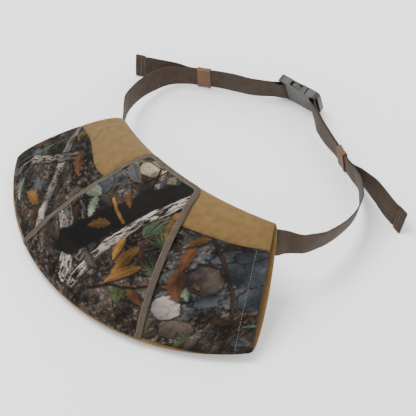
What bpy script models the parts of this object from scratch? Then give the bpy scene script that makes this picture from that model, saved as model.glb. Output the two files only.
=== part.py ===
"""Padded hand muff with a front pocket and a webbing waist belt.

The muff is a flattened, crescent-shaped tube that is open at both ends. Its layers are nested:
an outer shell, an insulating pad and a lining, each worked out from one curved middle surface.
The belt is two lengths of webbing that meet in a side-release buckle. Each length passes round
a bar in the buckle, doubles back through an elastic keeper and ends in a free, folded tail.

Frame: +X to the right as seen from the front, -Y out of the front, +Z up. The origin is under the
middle of the whole model, on the floor.
All lengths are in metres.
"""

import math

import bmesh
import bpy
import numpy as np
from mathutils import Matrix, Vector

MM = 0.001
GAP = 0.3 * MM                      # air left between two pieces that touch

# ---- muff outline ---------------------------------------------------------------------------
TOP_WIDTH = 272 * MM                # chord of the upper edge, mouth to mouth
TOP_SAG = 26 * MM                   # how far the upper edge curves back at its ends
TOP_SHIFT = 8 * MM                  # sideways slump of the upper edge
TOP_HEIGHT_LEFT = 68 * MM
TOP_HEIGHT_MIDDLE = 96 * MM
TOP_HEIGHT_RIGHT = 107 * MM
TOP_FRONT = -52 * MM                # y of the middle of the upper edge
BOTTOM_WIDTH = 426 * MM             # chord of the lower edge
BOTTOM_SAG = 101 * MM
SLANT_RUN = 180 * MM                # plan distance from the upper to the lower edge, at the middle
LOWER_SKEW = 3 * MM                 # the left of the lower edge lies this far in front, the right behind
LOWER_LIFT = 3.6 * MM               # height of the lower seam above the floor
LOWER_LIFT_RIGHT = 8 * MM           # how much higher the right mouth's lower corner is held

# ---- muff layers ----------------------------------------------------------------------------
FRONT_LOFT = 21 * MM                # half thickness in front of the middle surface, at the middle
BACK_LOFT = 17 * MM
MOUTH_FRONT_LOFT = 10 * MM          # the same at the right mouth
LEFT_MOUTH_FULLER = 10 * MM         # the left mouth stands open this much further in front
MOUTH_BACK_LOFT = 9 * MM
BACK_REACH = 0.035                  # how much further the back wall reaches at each mouth
EDGE_FULLNESS = 0.75                # 1 is an ellipse; less is blunter
SHELL = 1.2 * MM
LINING = 1.0 * MM
FRONT_PAD = 7.0 * MM                # pad thickness in the middle of the front
BACK_PAD = 5.0 * MM
MOUTH_PAD = 1.7 * MM                # pad thickness at the mouths
LIP = 2.0 * MM                      # shell turned in over the pad's end, along the muff
RIDGE_ANGLE = 0.004                 # half of the seam along the upper edge
LIP_STEP = 0.0012                   # share of the half width over which the shell turns in

# ---- front panels ---------------------------------------------------------------------------
YOKE_INNER_LEFT = 0.34              # where the yokes end under the pocket, share of the half width
YOKE_INNER_RIGHT = 0.25
LEFT_YOKE_DROP = 0.30               # yoke seam's place down the front, at the pocket
LEFT_YOKE_DROP_MOUTH = 0.34
RIGHT_YOKE_DROP = 0.27
RIGHT_YOKE_DROP_MOUTH = 0.21
WELT_ANGLE = 0.24                   # how far the back wraps under the lower edge
WELT_ANGLE_RIGHT = -0.06            # at the right mouth the front wraps under instead
POCKET_TOP_SHARE = 0.335            # half width of the pocket, share of the muff's half width
POCKET_BOTTOM_SHARE = 0.445
POCKET_TOP_SHIFT = -0.05            # sideways shift of the pocket's middle, share of the half width
POCKET_BOTTOM_SHIFT = 0.015
POCKET_TOP_ANGLE = 0.20             # section angle at which the pocket's top edge lies
POCKET_LIFT = 0.8 * MM              # air under the sewn edges of the pocket
POCKET_POUCH = 2.6 * MM             # extra air in the middle of the pocket
POCKET_CLOTH = 1.2 * MM
POCKET_SEAM_ANGLE = 0.02            # from the pocket's sewn lower edge to the seam below it
BINDING_WIDTH = 7.0 * MM
BINDING_THICK = 2.2 * MM

# ---- webbing --------------------------------------------------------------------------------
WEB_WIDTH = 32 * MM
WEB_THICK = 1.4 * MM
TAIL_FOLD = 12 * MM                 # length of the sewn fold at each tail
LAYER_GAP = 0.3 * MM                # air between the doubled layers
ANCHOR_DEPTH = 34 * MM              # length of webbing sewn behind each end of the muff
ANCHOR_INSET_LEFT = 16 * MM         # from the mouth to where the webbing leaves the panel
ANCHOR_INSET_RIGHT = 3 * MM
ANCHOR_LIFT = 2.0 * MM              # air between that webbing and the back panel
ANCHOR_PEEL_LEFT = 10 * MM          # how far it has come away from the panel at that place
ANCHOR_PEEL_RIGHT = 2.5 * MM
ANCHOR_ANGLE_LEFT = 0.95            # section angle of the anchor, back from the upper edge
ANCHOR_ANGLE_RIGHT = 0.84
WEB_STEP = 9 * MM                   # length of one facet along the belt
DOUBLED_STEP = 3.5 * MM             # the same where the webbing is doubled
CLOSING_LENGTH = 26 * MM            # from the bar to where the two layers lie together
LEFT_TURN = math.radians(84)        # how far the doubled webbing turns as it leaves each bar
LEFT_BEND = 6 * MM                  # radius of that turn
RIGHT_TURN = math.radians(46)
RIGHT_BEND = 8 * MM

# ---- keepers --------------------------------------------------------------------------------
KEEPER_LENGTH = 17 * MM
KEEPER_WALL = 0.9 * MM
KEEPER_CLEARANCE = 0.5 * MM
KEEPER_TRAVEL = 6 * MM
KEEPER_MARGIN = 2 * MM              # webbing that stays rigid beyond the keeper's travel

# ---- buckle ---------------------------------------------------------------------------------
BUCKLE_PLACE = (-33 * MM, 196.5 * MM)     # the joint line between the two halves, in plan
BUCKLE_HEADING = math.radians(11)
BUCKLE_LEAN = math.radians(15)
BAR_RADIUS = 2.0 * MM
BAR_CLEARANCE = 0.4 * MM                # air between a bar and the webbing round it
SLOT_CLEARANCE = 0.6 * MM               # air between the webbing and a slot's walls
SIDE_RAIL = 3.5 * MM
WEB_SIDE_CLEARANCE = 1.0 * MM           # air between the webbing's edges and the side rails
END_BAR = 3.2 * MM
FRAME_THICK = 10.4 * MM
HOUSING_LENGTH = 30 * MM
HOUSING_WALL = 1.8 * MM                 # top and bottom walls of the socket's housing
COLLAR_LENGTH = 7.5 * MM                # closed ring round the mouth of the housing
COLLAR_WALL = 2.6 * MM
WINDOW_END = 24 * MM
WAIST = 1.2 * MM                        # hollow in each side where the fingers press
CAVITY_DEPTH = 27 * MM
PLUG_BASE = 5.4 * MM
ARM_RUNNING_GAP = 0.5 * MM
ARM_THICK = 3.0 * MM
ARM_INSET = 1.2 * MM                    # the arms' outer side stands this far in from the collar
ARM_FACE_GAP = 0.4 * MM                 # air over each face of an arm inside the housing
SHOULDER_INSET = 0.4 * MM               # the shoulders stand this far in from the housing's sides
KNUCKLE_RADIUS = 2.2 * MM
KNUCKLE_INSET = 2.4 * MM
SEAT_RELIEF = 0.4 * MM                  # the seat's open side is wider on the inside by this much
SOCKET_CORNER = 5 * MM                  # corner radius of the socket's strap end
PLUG_CORNER = 7 * MM
EDGE_CHAMFER = 1 * MM                   # where the two halves meet
ARM_REACH = 24.5 * MM
SHOULDER_REACH = 16.5 * MM
TONGUE_HALF_WIDTH = 3.5 * MM
TONGUE_REACH = 20 * MM

# ---- grid fineness --------------------------------------------------------------------------
COLUMNS = 26                        # facets along the muff
SECTION_ROWS = 16                   # facets over one face of the muff
SEAM_ROW = 6                        # the row that the yoke seams take
EDGE_ROW = 14                       # last row above the lower seam
PAD_MARGIN_ROWS = 2                 # rows that the pads stop short of the upper and lower edges
LINING_MARGIN_ROWS = 1
COLUMN_SPACE = 0.012                # an even column closer than this to a seam's column is left out
POCKET_FACETS = 14                  # facets across and down the pocket
ROUND_SIDES = 20                    # facets round a bar
ROW_ANGLE = math.pi / SECTION_ROWS  # every layer keeps its points on the same section angles

WEB_CENTRE_RADIUS = BAR_RADIUS + BAR_CLEARANCE + WEB_THICK / 2
SLOT_REACH = WEB_CENTRE_RADIUS + WEB_THICK / 2 + SLOT_CLEARANCE
WINDOW_HALF = WEB_WIDTH / 2 + WEB_SIDE_CLEARANCE
FRAME_HALF = WINDOW_HALF + SIDE_RAIL
SOCKET_BAR = HOUSING_LENGTH + SLOT_REACH        # distance from the joint line to each bar
PLUG_BAR = PLUG_BASE + SLOT_REACH
HALF_WEB = WEB_WIDTH / 2


# ---- general helpers ------------------------------------------------------------------------
def clear_scene():
    for existing in list(bpy.data.objects):
        bpy.data.objects.remove(existing, do_unlink=True)


def smooth(value):
    """Blend from 0 to 1 with level ends."""
    value = np.clip(value, 0.0, 1.0)
    return value * value * (3 - 2 * value)


def unit(vectors):
    return vectors / np.linalg.norm(vectors, axis=-1, keepdims=True)


def make_material(name, colour, roughness, metallic=0.0):
    material = bpy.data.materials.new(name)
    material.use_nodes = True
    shader = material.node_tree.nodes["Principled BSDF"]
    shader.inputs["Base Color"].default_value = (*colour, 1.0)
    shader.inputs["Roughness"].default_value = roughness
    shader.inputs["Metallic"].default_value = metallic
    return material


def add_object(name, vertices, faces, material=None):
    """Make one object whose faces all point out of the closed body."""
    mesh = bpy.data.meshes.new(name)
    mesh.from_pydata([tuple(vertex) for vertex in vertices], [], faces)
    shape = bmesh.new()
    shape.from_mesh(mesh)
    bmesh.ops.recalc_face_normals(shape, faces=shape.faces)
    shape.to_mesh(mesh)
    shape.free()
    item = bpy.data.objects.new(name, mesh)
    bpy.context.collection.objects.link(item)
    if material is not None:
        mesh.materials.append(material)
        mesh.shade_smooth()
        mesh.set_sharp_from_angle(angle=math.radians(40))
    return item


def slab(name, outer, inner, material, kept=None):
    """Close the space between two matching grids of points into one solid sheet.

    kept says which cells of the grid the sheet has; every cell edge with one kept side is walled.
    """
    rows, columns = outer.shape[:2]
    if kept is None:
        kept = np.ones((rows - 1, columns - 1), dtype=bool)
    vertices = np.concatenate([outer.reshape(-1, 3), inner.reshape(-1, 3)])
    under = rows * columns
    faces, edges = [], set()
    for i, j in zip(*np.nonzero(kept)):
        a = int(i * columns + j)
        ring = (a, a + 1, a + columns + 1, a + columns)
        faces.append(ring)
        faces.append(tuple(under + corner for corner in reversed(ring)))
        for here, there in zip(ring, ring[1:] + ring[:1]):
            if (there, here) in edges:
                edges.remove((there, here))
            else:
                edges.add((here, there))
    faces += [(there, here, under + here, under + there) for here, there in sorted(edges)]
    used = sorted({corner for face in faces for corner in face})
    renumber = {corner: place for place, corner in enumerate(used)}
    faces = [tuple(renumber[corner] for corner in face) for face in faces]
    return add_object(name, vertices[used], faces, material)


# ---- the muff's middle surface --------------------------------------------------------------
def arc_radius(chord, sag):
    return (chord * chord / 4 + sag * sag) / (2 * sag)


def middle_surface(across, down):
    """Point on the middle surface.

    across runs from -1 at the left mouth to 1 at the right, down from 0 at the upper edge to 1
    at the lower. Every row is an arc whose chord and sag are blended between the two edges.
    """
    chord = TOP_WIDTH + (BOTTOM_WIDTH - TOP_WIDTH) * down
    sag = TOP_SAG + (BOTTOM_SAG - TOP_SAG) * down
    radius = arc_radius(chord, sag)
    swing = np.arcsin(chord / 2 / radius) * across
    lean = (TOP_HEIGHT_RIGHT - TOP_HEIGHT_LEFT) / 2
    dip = (TOP_HEIGHT_RIGHT + TOP_HEIGHT_LEFT) / 2 - TOP_HEIGHT_MIDDLE
    top_height = TOP_HEIGHT_MIDDLE + lean * across + dip * across * across
    x = radius * np.sin(swing) + TOP_SHIFT * (1 - down)
    y = TOP_FRONT + (LOWER_SKEW * across - SLANT_RUN) * down + radius * (1 - np.cos(swing))
    z = top_height * (1 - down) + (LOWER_LIFT + LOWER_LIFT_RIGHT * np.clip(across, 0, 1) ** 3) * down
    return np.stack(np.broadcast_arrays(x, y, z), axis=-1)


def front_normal(across, down):
    """Unit normal of the middle surface on its front side, by central differences."""
    step = 1e-4
    along = middle_surface(across + step, down) - middle_surface(across - step, down)
    slope = middle_surface(across, down + step) - middle_surface(across, down - step)
    return unit(np.cross(slope, along))


def loft(across, mouth, middle):
    """Half thickness or pad thickness: full in the middle and thin at the mouths."""
    return mouth + (middle - mouth) * np.clip(1 - np.abs(across) ** 3, 0, 1) ** 0.8


def muff_point(across, angle, depth):
    """Point of the layer that lies depth inside the muff's outer face.

    angle runs round the flattened section: 0 at the upper edge, pi at the lower edge after the
    front, 2 pi at the upper edge again after the back.
    """
    across, angle, depth = np.broadcast_arrays(across, angle, depth)
    full_turn = np.where(np.sin(angle) < 0, -np.sin(angle), 0.0)
    across = across * (1 + BACK_REACH * full_turn * across ** 4)
    slant = middle_surface(across, np.ones_like(across)) - middle_surface(across, np.zeros_like(across))
    half_share = 0.5 - depth / np.linalg.norm(slant, axis=-1)
    down = 0.5 - half_share * np.cos(angle)
    is_front = np.sin(angle) >= 0
    mouth_front = MOUTH_FRONT_LOFT + LEFT_MOUTH_FULLER * smooth(-across)
    front = loft(across, mouth_front, FRONT_LOFT) - depth
    back = depth - loft(across, MOUTH_BACK_LOFT, BACK_LOFT)
    rise = np.where(is_front, front, back) * np.abs(np.sin(angle)) ** EDGE_FULLNESS
    return middle_surface(across, down) + front_normal(across, down) * rise[..., None]


def drop_to_angle(drop):
    """Section angle on the front at a given share of the way down."""
    return np.arccos(1 - 2 * np.asarray(drop))


def gap_angle(across, angle, width=GAP):
    """Section angle that spans a given width on the outer face."""
    step = 1e-3
    reach = muff_point(across, angle + step, 0.0) - muff_point(across, angle - step, 0.0)
    return width * 2 * step / np.linalg.norm(reach, axis=-1)


def gap_across(across, angle, width=GAP):
    """Share of the half width that spans a given width along the muff."""
    step = 1e-3
    reach = muff_point(across + step, angle, 0.0) - muff_point(across - step, angle, 0.0)
    return width * 2 * step / np.linalg.norm(reach, axis=-1)


LIP_SHARE = LIP / (TOP_WIDTH / 2)
PAD_END = 1 - LIP_SHARE - GAP / (TOP_WIDTH / 2)


def pad_depth(across, middle):
    """Depth of the pad's inner face."""
    return SHELL + GAP + loft(across, MOUTH_PAD, middle)


def wall_depth(across, middle):
    """Depth of the lining's inner face."""
    return pad_depth(across, middle) + GAP + LINING


def welt_angle(across):
    """Section angle of the seam between the front and the back, near the lower edge."""
    turn = smooth((across - 0.45) / 0.5)
    return math.pi - (WELT_ANGLE + (WELT_ANGLE_RIGHT - WELT_ANGLE) * turn)


def yoke_angle(across):
    """Section angle of the seam between a yoke and the camouflage panel: a gentle S."""
    inner = np.where(across > 0, YOKE_INNER_RIGHT, YOKE_INNER_LEFT)
    share = np.clip((np.abs(across) - inner) / (1 - inner), 0, 1)
    near = np.where(across > 0, RIGHT_YOKE_DROP, LEFT_YOKE_DROP)
    far = np.where(across > 0, RIGHT_YOKE_DROP_MOUTH, LEFT_YOKE_DROP_MOUTH)
    wave = np.where(across > 0, -0.010, 0.035) * np.sin(2 * math.pi * share)
    return drop_to_angle(near + (far - near) * smooth(share) + wave)


def muff_columns(low, high, extra=()):
    """Column places between low and high, with the lips' and seams' places added."""
    even = np.linspace(-1, 1, COLUMNS + 1)
    marks = [low, high, *extra]
    inside = [place for place in even if low < place < high]
    inside = [place for place in inside if min(abs(place - mark) for mark in marks) > COLUMN_SPACE]
    return np.array(sorted(marks + inside))


def rows_between(start, stop, count):
    """Rows of section angles from start up to, but not including, stop."""
    share = np.arange(count)[:, None] / count
    return start[None, :] + (stop - start)[None, :] * share


def outer_layer(name, columns, angles, pad, material, kept=None):
    """A panel of the outer shell on the given section angles, turned in at the mouths."""
    across = np.broadcast_to(columns[None, :], angles.shape)
    is_lip = np.abs(across) > 1 - LIP_SHARE - 1e-6
    depth = np.where(is_lip, wall_depth(across, pad), SHELL)
    return slab(name, muff_point(across, angles, 0.0), muff_point(across, angles, depth), material, kept)


def lip_marks(low, high):
    """Both sides of the step where the shell turns in, for the mouths inside the range."""
    marks = []
    for side in (-1, 1):
        edge = side * (1 - LIP_SHARE)
        if low < edge < high:
            marks += [edge, edge - side * LIP_STEP]
    return marks


def inner_layer(name, columns, first, margin, depth_outer, depth_inner, material):
    """A pad or lining on one face, stopping a few rows short of the muff's edges."""
    rows = np.arange(margin, SECTION_ROWS - margin + 1)[:, None]
    angles = first + ROW_ANGLE * rows * np.ones_like(columns)[None, :]
    across = np.broadcast_to(columns[None, :], angles.shape)
    outer = muff_point(across, angles, depth_outer(across))
    inner = muff_point(across, angles, depth_inner(across))
    return slab(name, outer, inner, material)


def build_front(camo, tan):
    marks = [-YOKE_INNER_LEFT, YOKE_INNER_RIGHT]
    columns = muff_columns(-1, 1, marks + lip_marks(-1, 1))
    level = np.ones_like(columns)
    beside_pocket = (columns < -YOKE_INNER_LEFT + 1e-6) | (columns > YOKE_INNER_RIGHT - 1e-6)
    seam = yoke_angle(columns)
    seam = np.where(beside_pocket, seam + gap_angle(columns, seam) / 2, SEAM_ROW * ROW_ANGLE)
    welt = welt_angle(columns)
    stop = welt - gap_angle(columns, welt) / 2
    angles = np.vstack([rows_between(RIDGE_ANGLE * level, seam, SEAM_ROW),
                        rows_between(seam, (SEAM_ROW + 1) * ROW_ANGLE * level, 2),
                        np.arange(SEAM_ROW + 1, EDGE_ROW)[:, None] * ROW_ANGLE * level,
                        rows_between(EDGE_ROW * ROW_ANGLE * level, stop, 3), stop])
    kept = np.ones((len(angles) - 1, len(columns) - 1), dtype=bool)
    kept[:SEAM_ROW, beside_pocket[:-1] & beside_pocket[1:]] = False
    outer_layer("front_shell", columns, angles, FRONT_PAD, camo, kept)
    for name, side, inner_share in (("left_yoke", -1, YOKE_INNER_LEFT), ("right_yoke", 1, YOKE_INNER_RIGHT)):
        inner_end = side * (inner_share + gap_across(inner_share, 1.0))
        low, high = sorted((inner_end, side))
        columns = muff_columns(low, high, lip_marks(low, high))
        seam = yoke_angle(columns)
        stop = seam - gap_angle(columns, seam) / 2
        start = np.full_like(columns, RIDGE_ANGLE)
        outer_layer(name, columns, np.vstack([rows_between(start, stop, SEAM_ROW), stop]), FRONT_PAD, tan)


def build_back(tan):
    """The back panel runs from the front of the lower edge, under it and up to the upper edge."""
    columns = muff_columns(-1, 1, lip_marks(-1, 1))
    welt = welt_angle(columns)
    start = welt + gap_angle(columns, welt) / 2
    level = np.ones_like(columns)
    angles = np.vstack([rows_between(start, math.pi * level, 2),
                        math.pi + np.arange(SECTION_ROWS)[:, None] * ROW_ANGLE * level,
                        (2 * math.pi - RIDGE_ANGLE) * level])
    outer_layer("back_panel", columns, angles, BACK_PAD, tan)


def build_inside(wadding, fleece):
    columns = muff_columns(-PAD_END, PAD_END)
    for side, pad, first in (("front", FRONT_PAD, 0.0), ("back", BACK_PAD, math.pi)):
        inner_layer(side + "_batting", columns, first, PAD_MARGIN_ROWS,
                    lambda place: np.full_like(place, SHELL + GAP),
                    lambda place, pad=pad: pad_depth(place, pad), wadding)
        inner_layer(side + "_lining", columns, first, LINING_MARGIN_ROWS,
                    lambda place, pad=pad: pad_depth(place, pad) + GAP,
                    lambda place, pad=pad: wall_depth(place, pad), fleece)


# ---- the pocket -----------------------------------------------------------------------------
def pocket_place(angle, sideways):
    """Place along the muff from -1 at the pocket's left edge to 1 at its right edge."""
    down = ((1 - np.cos(angle)) / 2) ** 0.8
    middle = POCKET_TOP_SHIFT + (POCKET_BOTTOM_SHIFT - POCKET_TOP_SHIFT) * down
    return middle + sideways * (POCKET_TOP_SHARE + (POCKET_BOTTOM_SHARE - POCKET_TOP_SHARE) * down)


def pocket_air(angle, first, last):
    """Air between the pocket and the shell: least at the sewn top and bottom."""
    share = (angle - first) / (last - first)
    return POCKET_LIFT + POCKET_POUCH * np.sin(np.clip(share, 0, 1) * math.pi) ** 2


def pocket_grid(sideways, first_angle):
    """Places and section angles of a strip of the pocket; sideways gives places per row angle."""
    rows = np.linspace(0, 1, POCKET_FACETS + 1)[:, None]
    last = welt_angle(0.0) - POCKET_SEAM_ANGLE
    angles = first_angle + (last - first_angle) * rows
    across = sideways(angles)
    return across, np.broadcast_to(angles, across.shape), last


def build_pocket(camo, grosgrain):
    band = gap_angle(0.0, POCKET_TOP_ANGLE + 0.1, BINDING_WIDTH)
    cloth_top = POCKET_TOP_ANGLE + band + gap_angle(0.0, POCKET_TOP_ANGLE + band)
    spread = np.linspace(-1, 1, POCKET_FACETS + 1)[None, :]
    across, angles, last = pocket_grid(lambda angle: pocket_place(angle, spread), cloth_top)
    air = pocket_air(angles, POCKET_TOP_ANGLE, last)
    slab("pocket_panel", muff_point(across, angles, -air - POCKET_CLOTH),
         muff_point(across, angles, -air), camo)
    base = (BINDING_THICK - POCKET_CLOTH) / 2
    for name, side in (("pocket_binding_left", -1), ("pocket_binding_right", 1)):
        def strip(angle, side=side):
            edge = pocket_place(angle, side)
            near = edge + side * gap_across(edge, angle)
            far = edge + side * gap_across(edge, angle, BINDING_WIDTH + GAP)
            return np.concatenate([near, (near + far) / 2, far], axis=1)
        across, angles, last = pocket_grid(strip, POCKET_TOP_ANGLE)
        air = pocket_air(angles, POCKET_TOP_ANGLE, last) - base
        slab(name, muff_point(across, angles, -air - BINDING_THICK),
             muff_point(across, angles, -air), grosgrain)
    angles = POCKET_TOP_ANGLE + band * np.linspace(0, 1, 4)[:, None]
    across = pocket_place(angles, spread)
    angles = np.broadcast_to(angles, across.shape)
    air = pocket_air(angles, POCKET_TOP_ANGLE, last) - base
    slab("pocket_binding_top", muff_point(across, angles, -air - BINDING_THICK),
         muff_point(across, angles, -air), grosgrain)


# ---- the buckle's own frame -----------------------------------------------------------------
ALONG = np.array([math.cos(BUCKLE_HEADING), math.sin(BUCKLE_HEADING), 0.0])
LEVEL_OUT = np.array([-math.sin(BUCKLE_HEADING), math.cos(BUCKLE_HEADING), 0.0])
UPRIGHT = np.array([0.0, 0.0, 1.0])
WIDE = UPRIGHT * math.cos(BUCKLE_LEAN) - LEVEL_OUT * math.sin(BUCKLE_LEAN)
OUT = LEVEL_OUT * math.cos(BUCKLE_LEAN) + UPRIGHT * math.sin(BUCKLE_LEAN)
BUCKLE_HEIGHT = FRAME_HALF * math.cos(BUCKLE_LEAN) + FRAME_THICK / 2 * math.sin(BUCKLE_LEAN) + GAP
BUCKLE_ORIGIN = np.array([*BUCKLE_PLACE, BUCKLE_HEIGHT])


def buckle_point(along, wide, out):
    """World point from distances along the slide, across the webbing and outward."""
    return BUCKLE_ORIGIN + np.multiply.outer(along, ALONG) + np.multiply.outer(wide, WIDE) \
        + np.multiply.outer(out, OUT)


def prism(name, outline, low, high, material=None):
    """Extrude an outline of (along, wide) points between two outward levels."""
    count = len(outline)
    vertices = [buckle_point(along, wide, out) for out in (low, high) for along, wide in outline]
    faces = [tuple(range(count)), tuple(range(2 * count - 1, count - 1, -1))]
    for here in range(count):
        there = (here + 1) % count
        faces.append((here, there, count + there, count + here))
    return add_object(name, vertices, faces, material)


def box_outline(low_along, high_along, low_wide, high_wide):
    return [(low_along, low_wide), (high_along, low_wide), (high_along, high_wide), (low_along, high_wide)]


def mirrored(upper):
    """Close an outline that runs along the upper side by its mirror image on the lower side."""
    return upper + [(along, -wide) for along, wide in reversed(upper)]


def rod(name, along, out, radius, half_length, sides=ROUND_SIDES):
    """Round bar across the buckle, parallel to the webbing's width."""
    turns = np.arange(sides) * 2 * math.pi / sides
    ring_along = along + radius * np.cos(turns)
    ring_out = out + radius * np.sin(turns)
    vertices = [buckle_point(a, end, o) for end in (-half_length, half_length)
                for a, o in zip(ring_along, ring_out)]
    faces = [tuple(range(sides)), tuple(range(2 * sides - 1, sides - 1, -1))]
    for here in range(sides):
        there = (here + 1) % sides
        faces.append((here, there, sides + there, sides + here))
    return add_object(name, vertices, faces)


def combine(target, tool, operation):
    """Cut or join a guide shape; the guide stays hidden and isn't part of the model."""
    tool.hide_render = True
    tool.display_type = "WIRE"
    change = target.modifiers.new(operation.lower() + "_" + tool.name, "BOOLEAN")
    change.operation = operation
    change.solver = "EXACT"
    change.object = tool


def rounded_end(reach, half_width, radius, corners=5):
    """Upper quarter-round corner of a frame end at the given reach."""
    turns = np.linspace(0, math.pi / 2, corners)
    side = math.copysign(1, reach)
    return [(reach - side * radius * (1 - math.sin(turn)), half_width - radius * (1 - math.cos(turn)))
            for turn in turns]


BAR_OUT = 0.8 * MM                  # the bars sit a little behind the frame's middle
TURN_OUT = -1.5 * MM                # where the webbing starts to turn away from the bar
END_BAR_FACE = -2.0 * MM            # front of the end bars, which the tail passes over
NOTCH_MARGIN = 0.5 * MM             # the notch over an end bar is this much wider than the window


def cut_bar_window(frame, bar, side):
    """Open the window for the webbing, thin the end bar and add the round bar."""
    low, high = sorted((bar - SLOT_REACH, bar + SLOT_REACH))
    level = FRAME_THICK
    combine(frame, prism(frame.name + "_window", box_outline(low, high, -WINDOW_HALF, WINDOW_HALF),
                         -level, level), "DIFFERENCE")
    edge = bar + side * (SLOT_REACH - 1 * MM)
    low, high = sorted((edge, edge + side * 3 * END_BAR))
    notch_half = WINDOW_HALF + NOTCH_MARGIN
    combine(frame, prism(frame.name + "_notch", box_outline(low, high, -notch_half, notch_half),
                         -level, END_BAR_FACE), "DIFFERENCE")
    combine(frame, rod(frame.name + "_bar", bar, BAR_OUT, BAR_RADIUS, WINDOW_HALF + SIDE_RAIL / 2),
            "UNION")


def build_socket(plastic):
    end = -(SOCKET_BAR + SLOT_REACH + END_BAR)
    upper = rounded_end(end, FRAME_HALF, SOCKET_CORNER)[::-1]
    upper += [(-WINDOW_END - 5 * MM, FRAME_HALF), (-WINDOW_END + 1 * MM, FRAME_HALF - WAIST),
              (-COLLAR_LENGTH - 4 * MM, FRAME_HALF - WAIST), (-COLLAR_LENGTH + 1 * MM, FRAME_HALF),
              (-EDGE_CHAMFER, FRAME_HALF), (0.0, FRAME_HALF - EDGE_CHAMFER)]
    half = FRAME_THICK / 2
    socket = prism("buckle_socket", mirrored(upper), -half, half, plastic)
    hollow = half - HOUSING_WALL
    inner = FRAME_HALF - COLLAR_WALL
    cavity = box_outline(-CAVITY_DEPTH, 1 * MM, -inner, inner)
    combine(socket, prism("socket_cavity", cavity, -hollow, hollow), "DIFFERENCE")
    for name, side in (("upper", 1), ("lower", -1)):
        low, high = sorted((side * (inner - 1 * MM), side * (FRAME_HALF + 1 * MM)))
        window = box_outline(-WINDOW_END, -COLLAR_LENGTH, low, high)
        combine(socket, prism("socket_side_" + name, window, -hollow, hollow), "DIFFERENCE")
    cut_bar_window(socket, -SOCKET_BAR, -1)


ARM_ROOT_WIDE = FRAME_HALF - COLLAR_WALL - ARM_RUNNING_GAP - ARM_INSET - ARM_THICK / 2
ARM_HALF_OUT = FRAME_THICK / 2 - HOUSING_WALL - ARM_FACE_GAP


def build_plug(plastic):
    half = FRAME_THICK / 2
    end = PLUG_BAR + SLOT_REACH + END_BAR
    upper = [(GAP, FRAME_HALF - EDGE_CHAMFER), (EDGE_CHAMFER, FRAME_HALF)]
    upper += rounded_end(end, FRAME_HALF, PLUG_CORNER)
    plug = prism("buckle_plug", mirrored(upper), -half, half, plastic)
    tongue = mirrored([(-TONGUE_REACH, TONGUE_HALF_WIDTH - 1 * MM),
                       (-TONGUE_REACH + 2 * MM, TONGUE_HALF_WIDTH), (2 * MM, TONGUE_HALF_WIDTH)])
    combine(plug, prism("plug_tongue", tongue, -ARM_HALF_OUT, ARM_HALF_OUT), "UNION")
    for name, side in (("upper", 1), ("lower", -1)):
        seat_radius = KNUCKLE_RADIUS + GAP
        turns = np.linspace(-math.pi / 2, math.pi / 2, 13)
        seat = [(KNUCKLE_INSET + seat_radius * math.cos(turn),
                 side * (ARM_ROOT_WIDE + seat_radius * math.sin(turn))) for turn in turns]
        seat += [(-1 * MM, side * (ARM_ROOT_WIDE + seat_radius)),
                 (-1 * MM, side * (ARM_ROOT_WIDE - seat_radius - SEAT_RELIEF))]
        level = ARM_HALF_OUT + GAP
        combine(plug, prism("plug_seat_" + name, seat, -level, level), "DIFFERENCE")
    cut_bar_window(plug, PLUG_BAR, 1)


def build_arms(plastic):
    """The two sprung prongs: a round knuckle in the plug, a blade and a shoulder."""
    collar = FRAME_HALF - COLLAR_WALL - ARM_RUNNING_GAP
    shoulder = FRAME_HALF - SHOULDER_INSET
    root = ARM_ROOT_WIDE
    turns = np.linspace(-0.68 * math.pi, 0.68 * math.pi, 15)
    knuckle = [(KNUCKLE_INSET + KNUCKLE_RADIUS * math.cos(turn), root + KNUCKLE_RADIUS * math.sin(turn))
               for turn in turns]
    outer_side = [(-1 * MM, root + ARM_THICK / 2), (-COLLAR_LENGTH - 3 * MM, collar),
                  (-SHOULDER_REACH, shoulder), (-SHOULDER_REACH - 3.5 * MM, shoulder),
                  (-SHOULDER_REACH - 6 * MM, collar), (-ARM_REACH, root + ARM_THICK / 2)]
    inner_side = [(-ARM_REACH, root), (-SHOULDER_REACH, root), (-1 * MM, root - ARM_THICK / 2)]
    for name, side in (("release_arm_upper", 1), ("release_arm_lower", -1)):
        outline = [(along, side * wide) for along, wide in knuckle + outer_side + inner_side]
        prism(name, outline, -ARM_HALF_OUT, ARM_HALF_OUT, plastic)


# ---- the belt's routes ----------------------------------------------------------------------
# Each route is the middle line of the webbing as (x, y, height of its middle) in millimetres and
# its lean towards the middle of the loop in degrees. The points are chosen by eye: the belt droops
# from the muff's back corners until it stands on its edge.
RIGHT_RUN = ((158, -17, 75, 8), (167, -2, 69, 0), (171, 28, 58, -11), (166, 70, 47, -15),
             (149, 109, 36, -13), (128, 131.5, 29, -5), (107, 145.8, 23, 4), (92, 151, 19, 5))
RIGHT_KEEPER = ((85, 154, 18.2, 6), (67.3, 159.7, 18.2, 6), (49.6, 165.4, 18.2, 6), (20, 173, 18.4, -1),
                (3, 179, 19.5, -3))
RIGHT_TAIL = ((93, 153.6, 18, 5), (108, 156, 17.4, 0), (132.5, 154, 16.4, -16), (161, 147, 15.4, -24),
              (191, 142, 14.4, -31))
LEFT_RUN = ((-141, -19, 47, 0), (-156, -5, 45, 0), (-168, 8, 40, -3), (-179, 27, 33, -2),
            (-186.5, 48, 27, -3), (-188.5, 70, 23, -5), (-184, 96, 19.5, -3))
LEFT_KEEPER = ((-167.5, 115.5, 18.2, 6), (-152.8, 126.3, 18.2, 6), (-138.1, 137.1, 18.2, 6),
               (-118.5, 149, 18.4, 4), (-98, 160, 19, 6))
LEFT_TAIL = ((-186, 107.5, 17, -3), (-204, 95.5, 16.4, -9), (-230, 79.5, 15.8, -17))
LOOP_MIDDLE = np.array([0.0, 60 * MM, 0.0])


def route(points):
    return np.array(points, dtype=float)[:, :3] * MM


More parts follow.
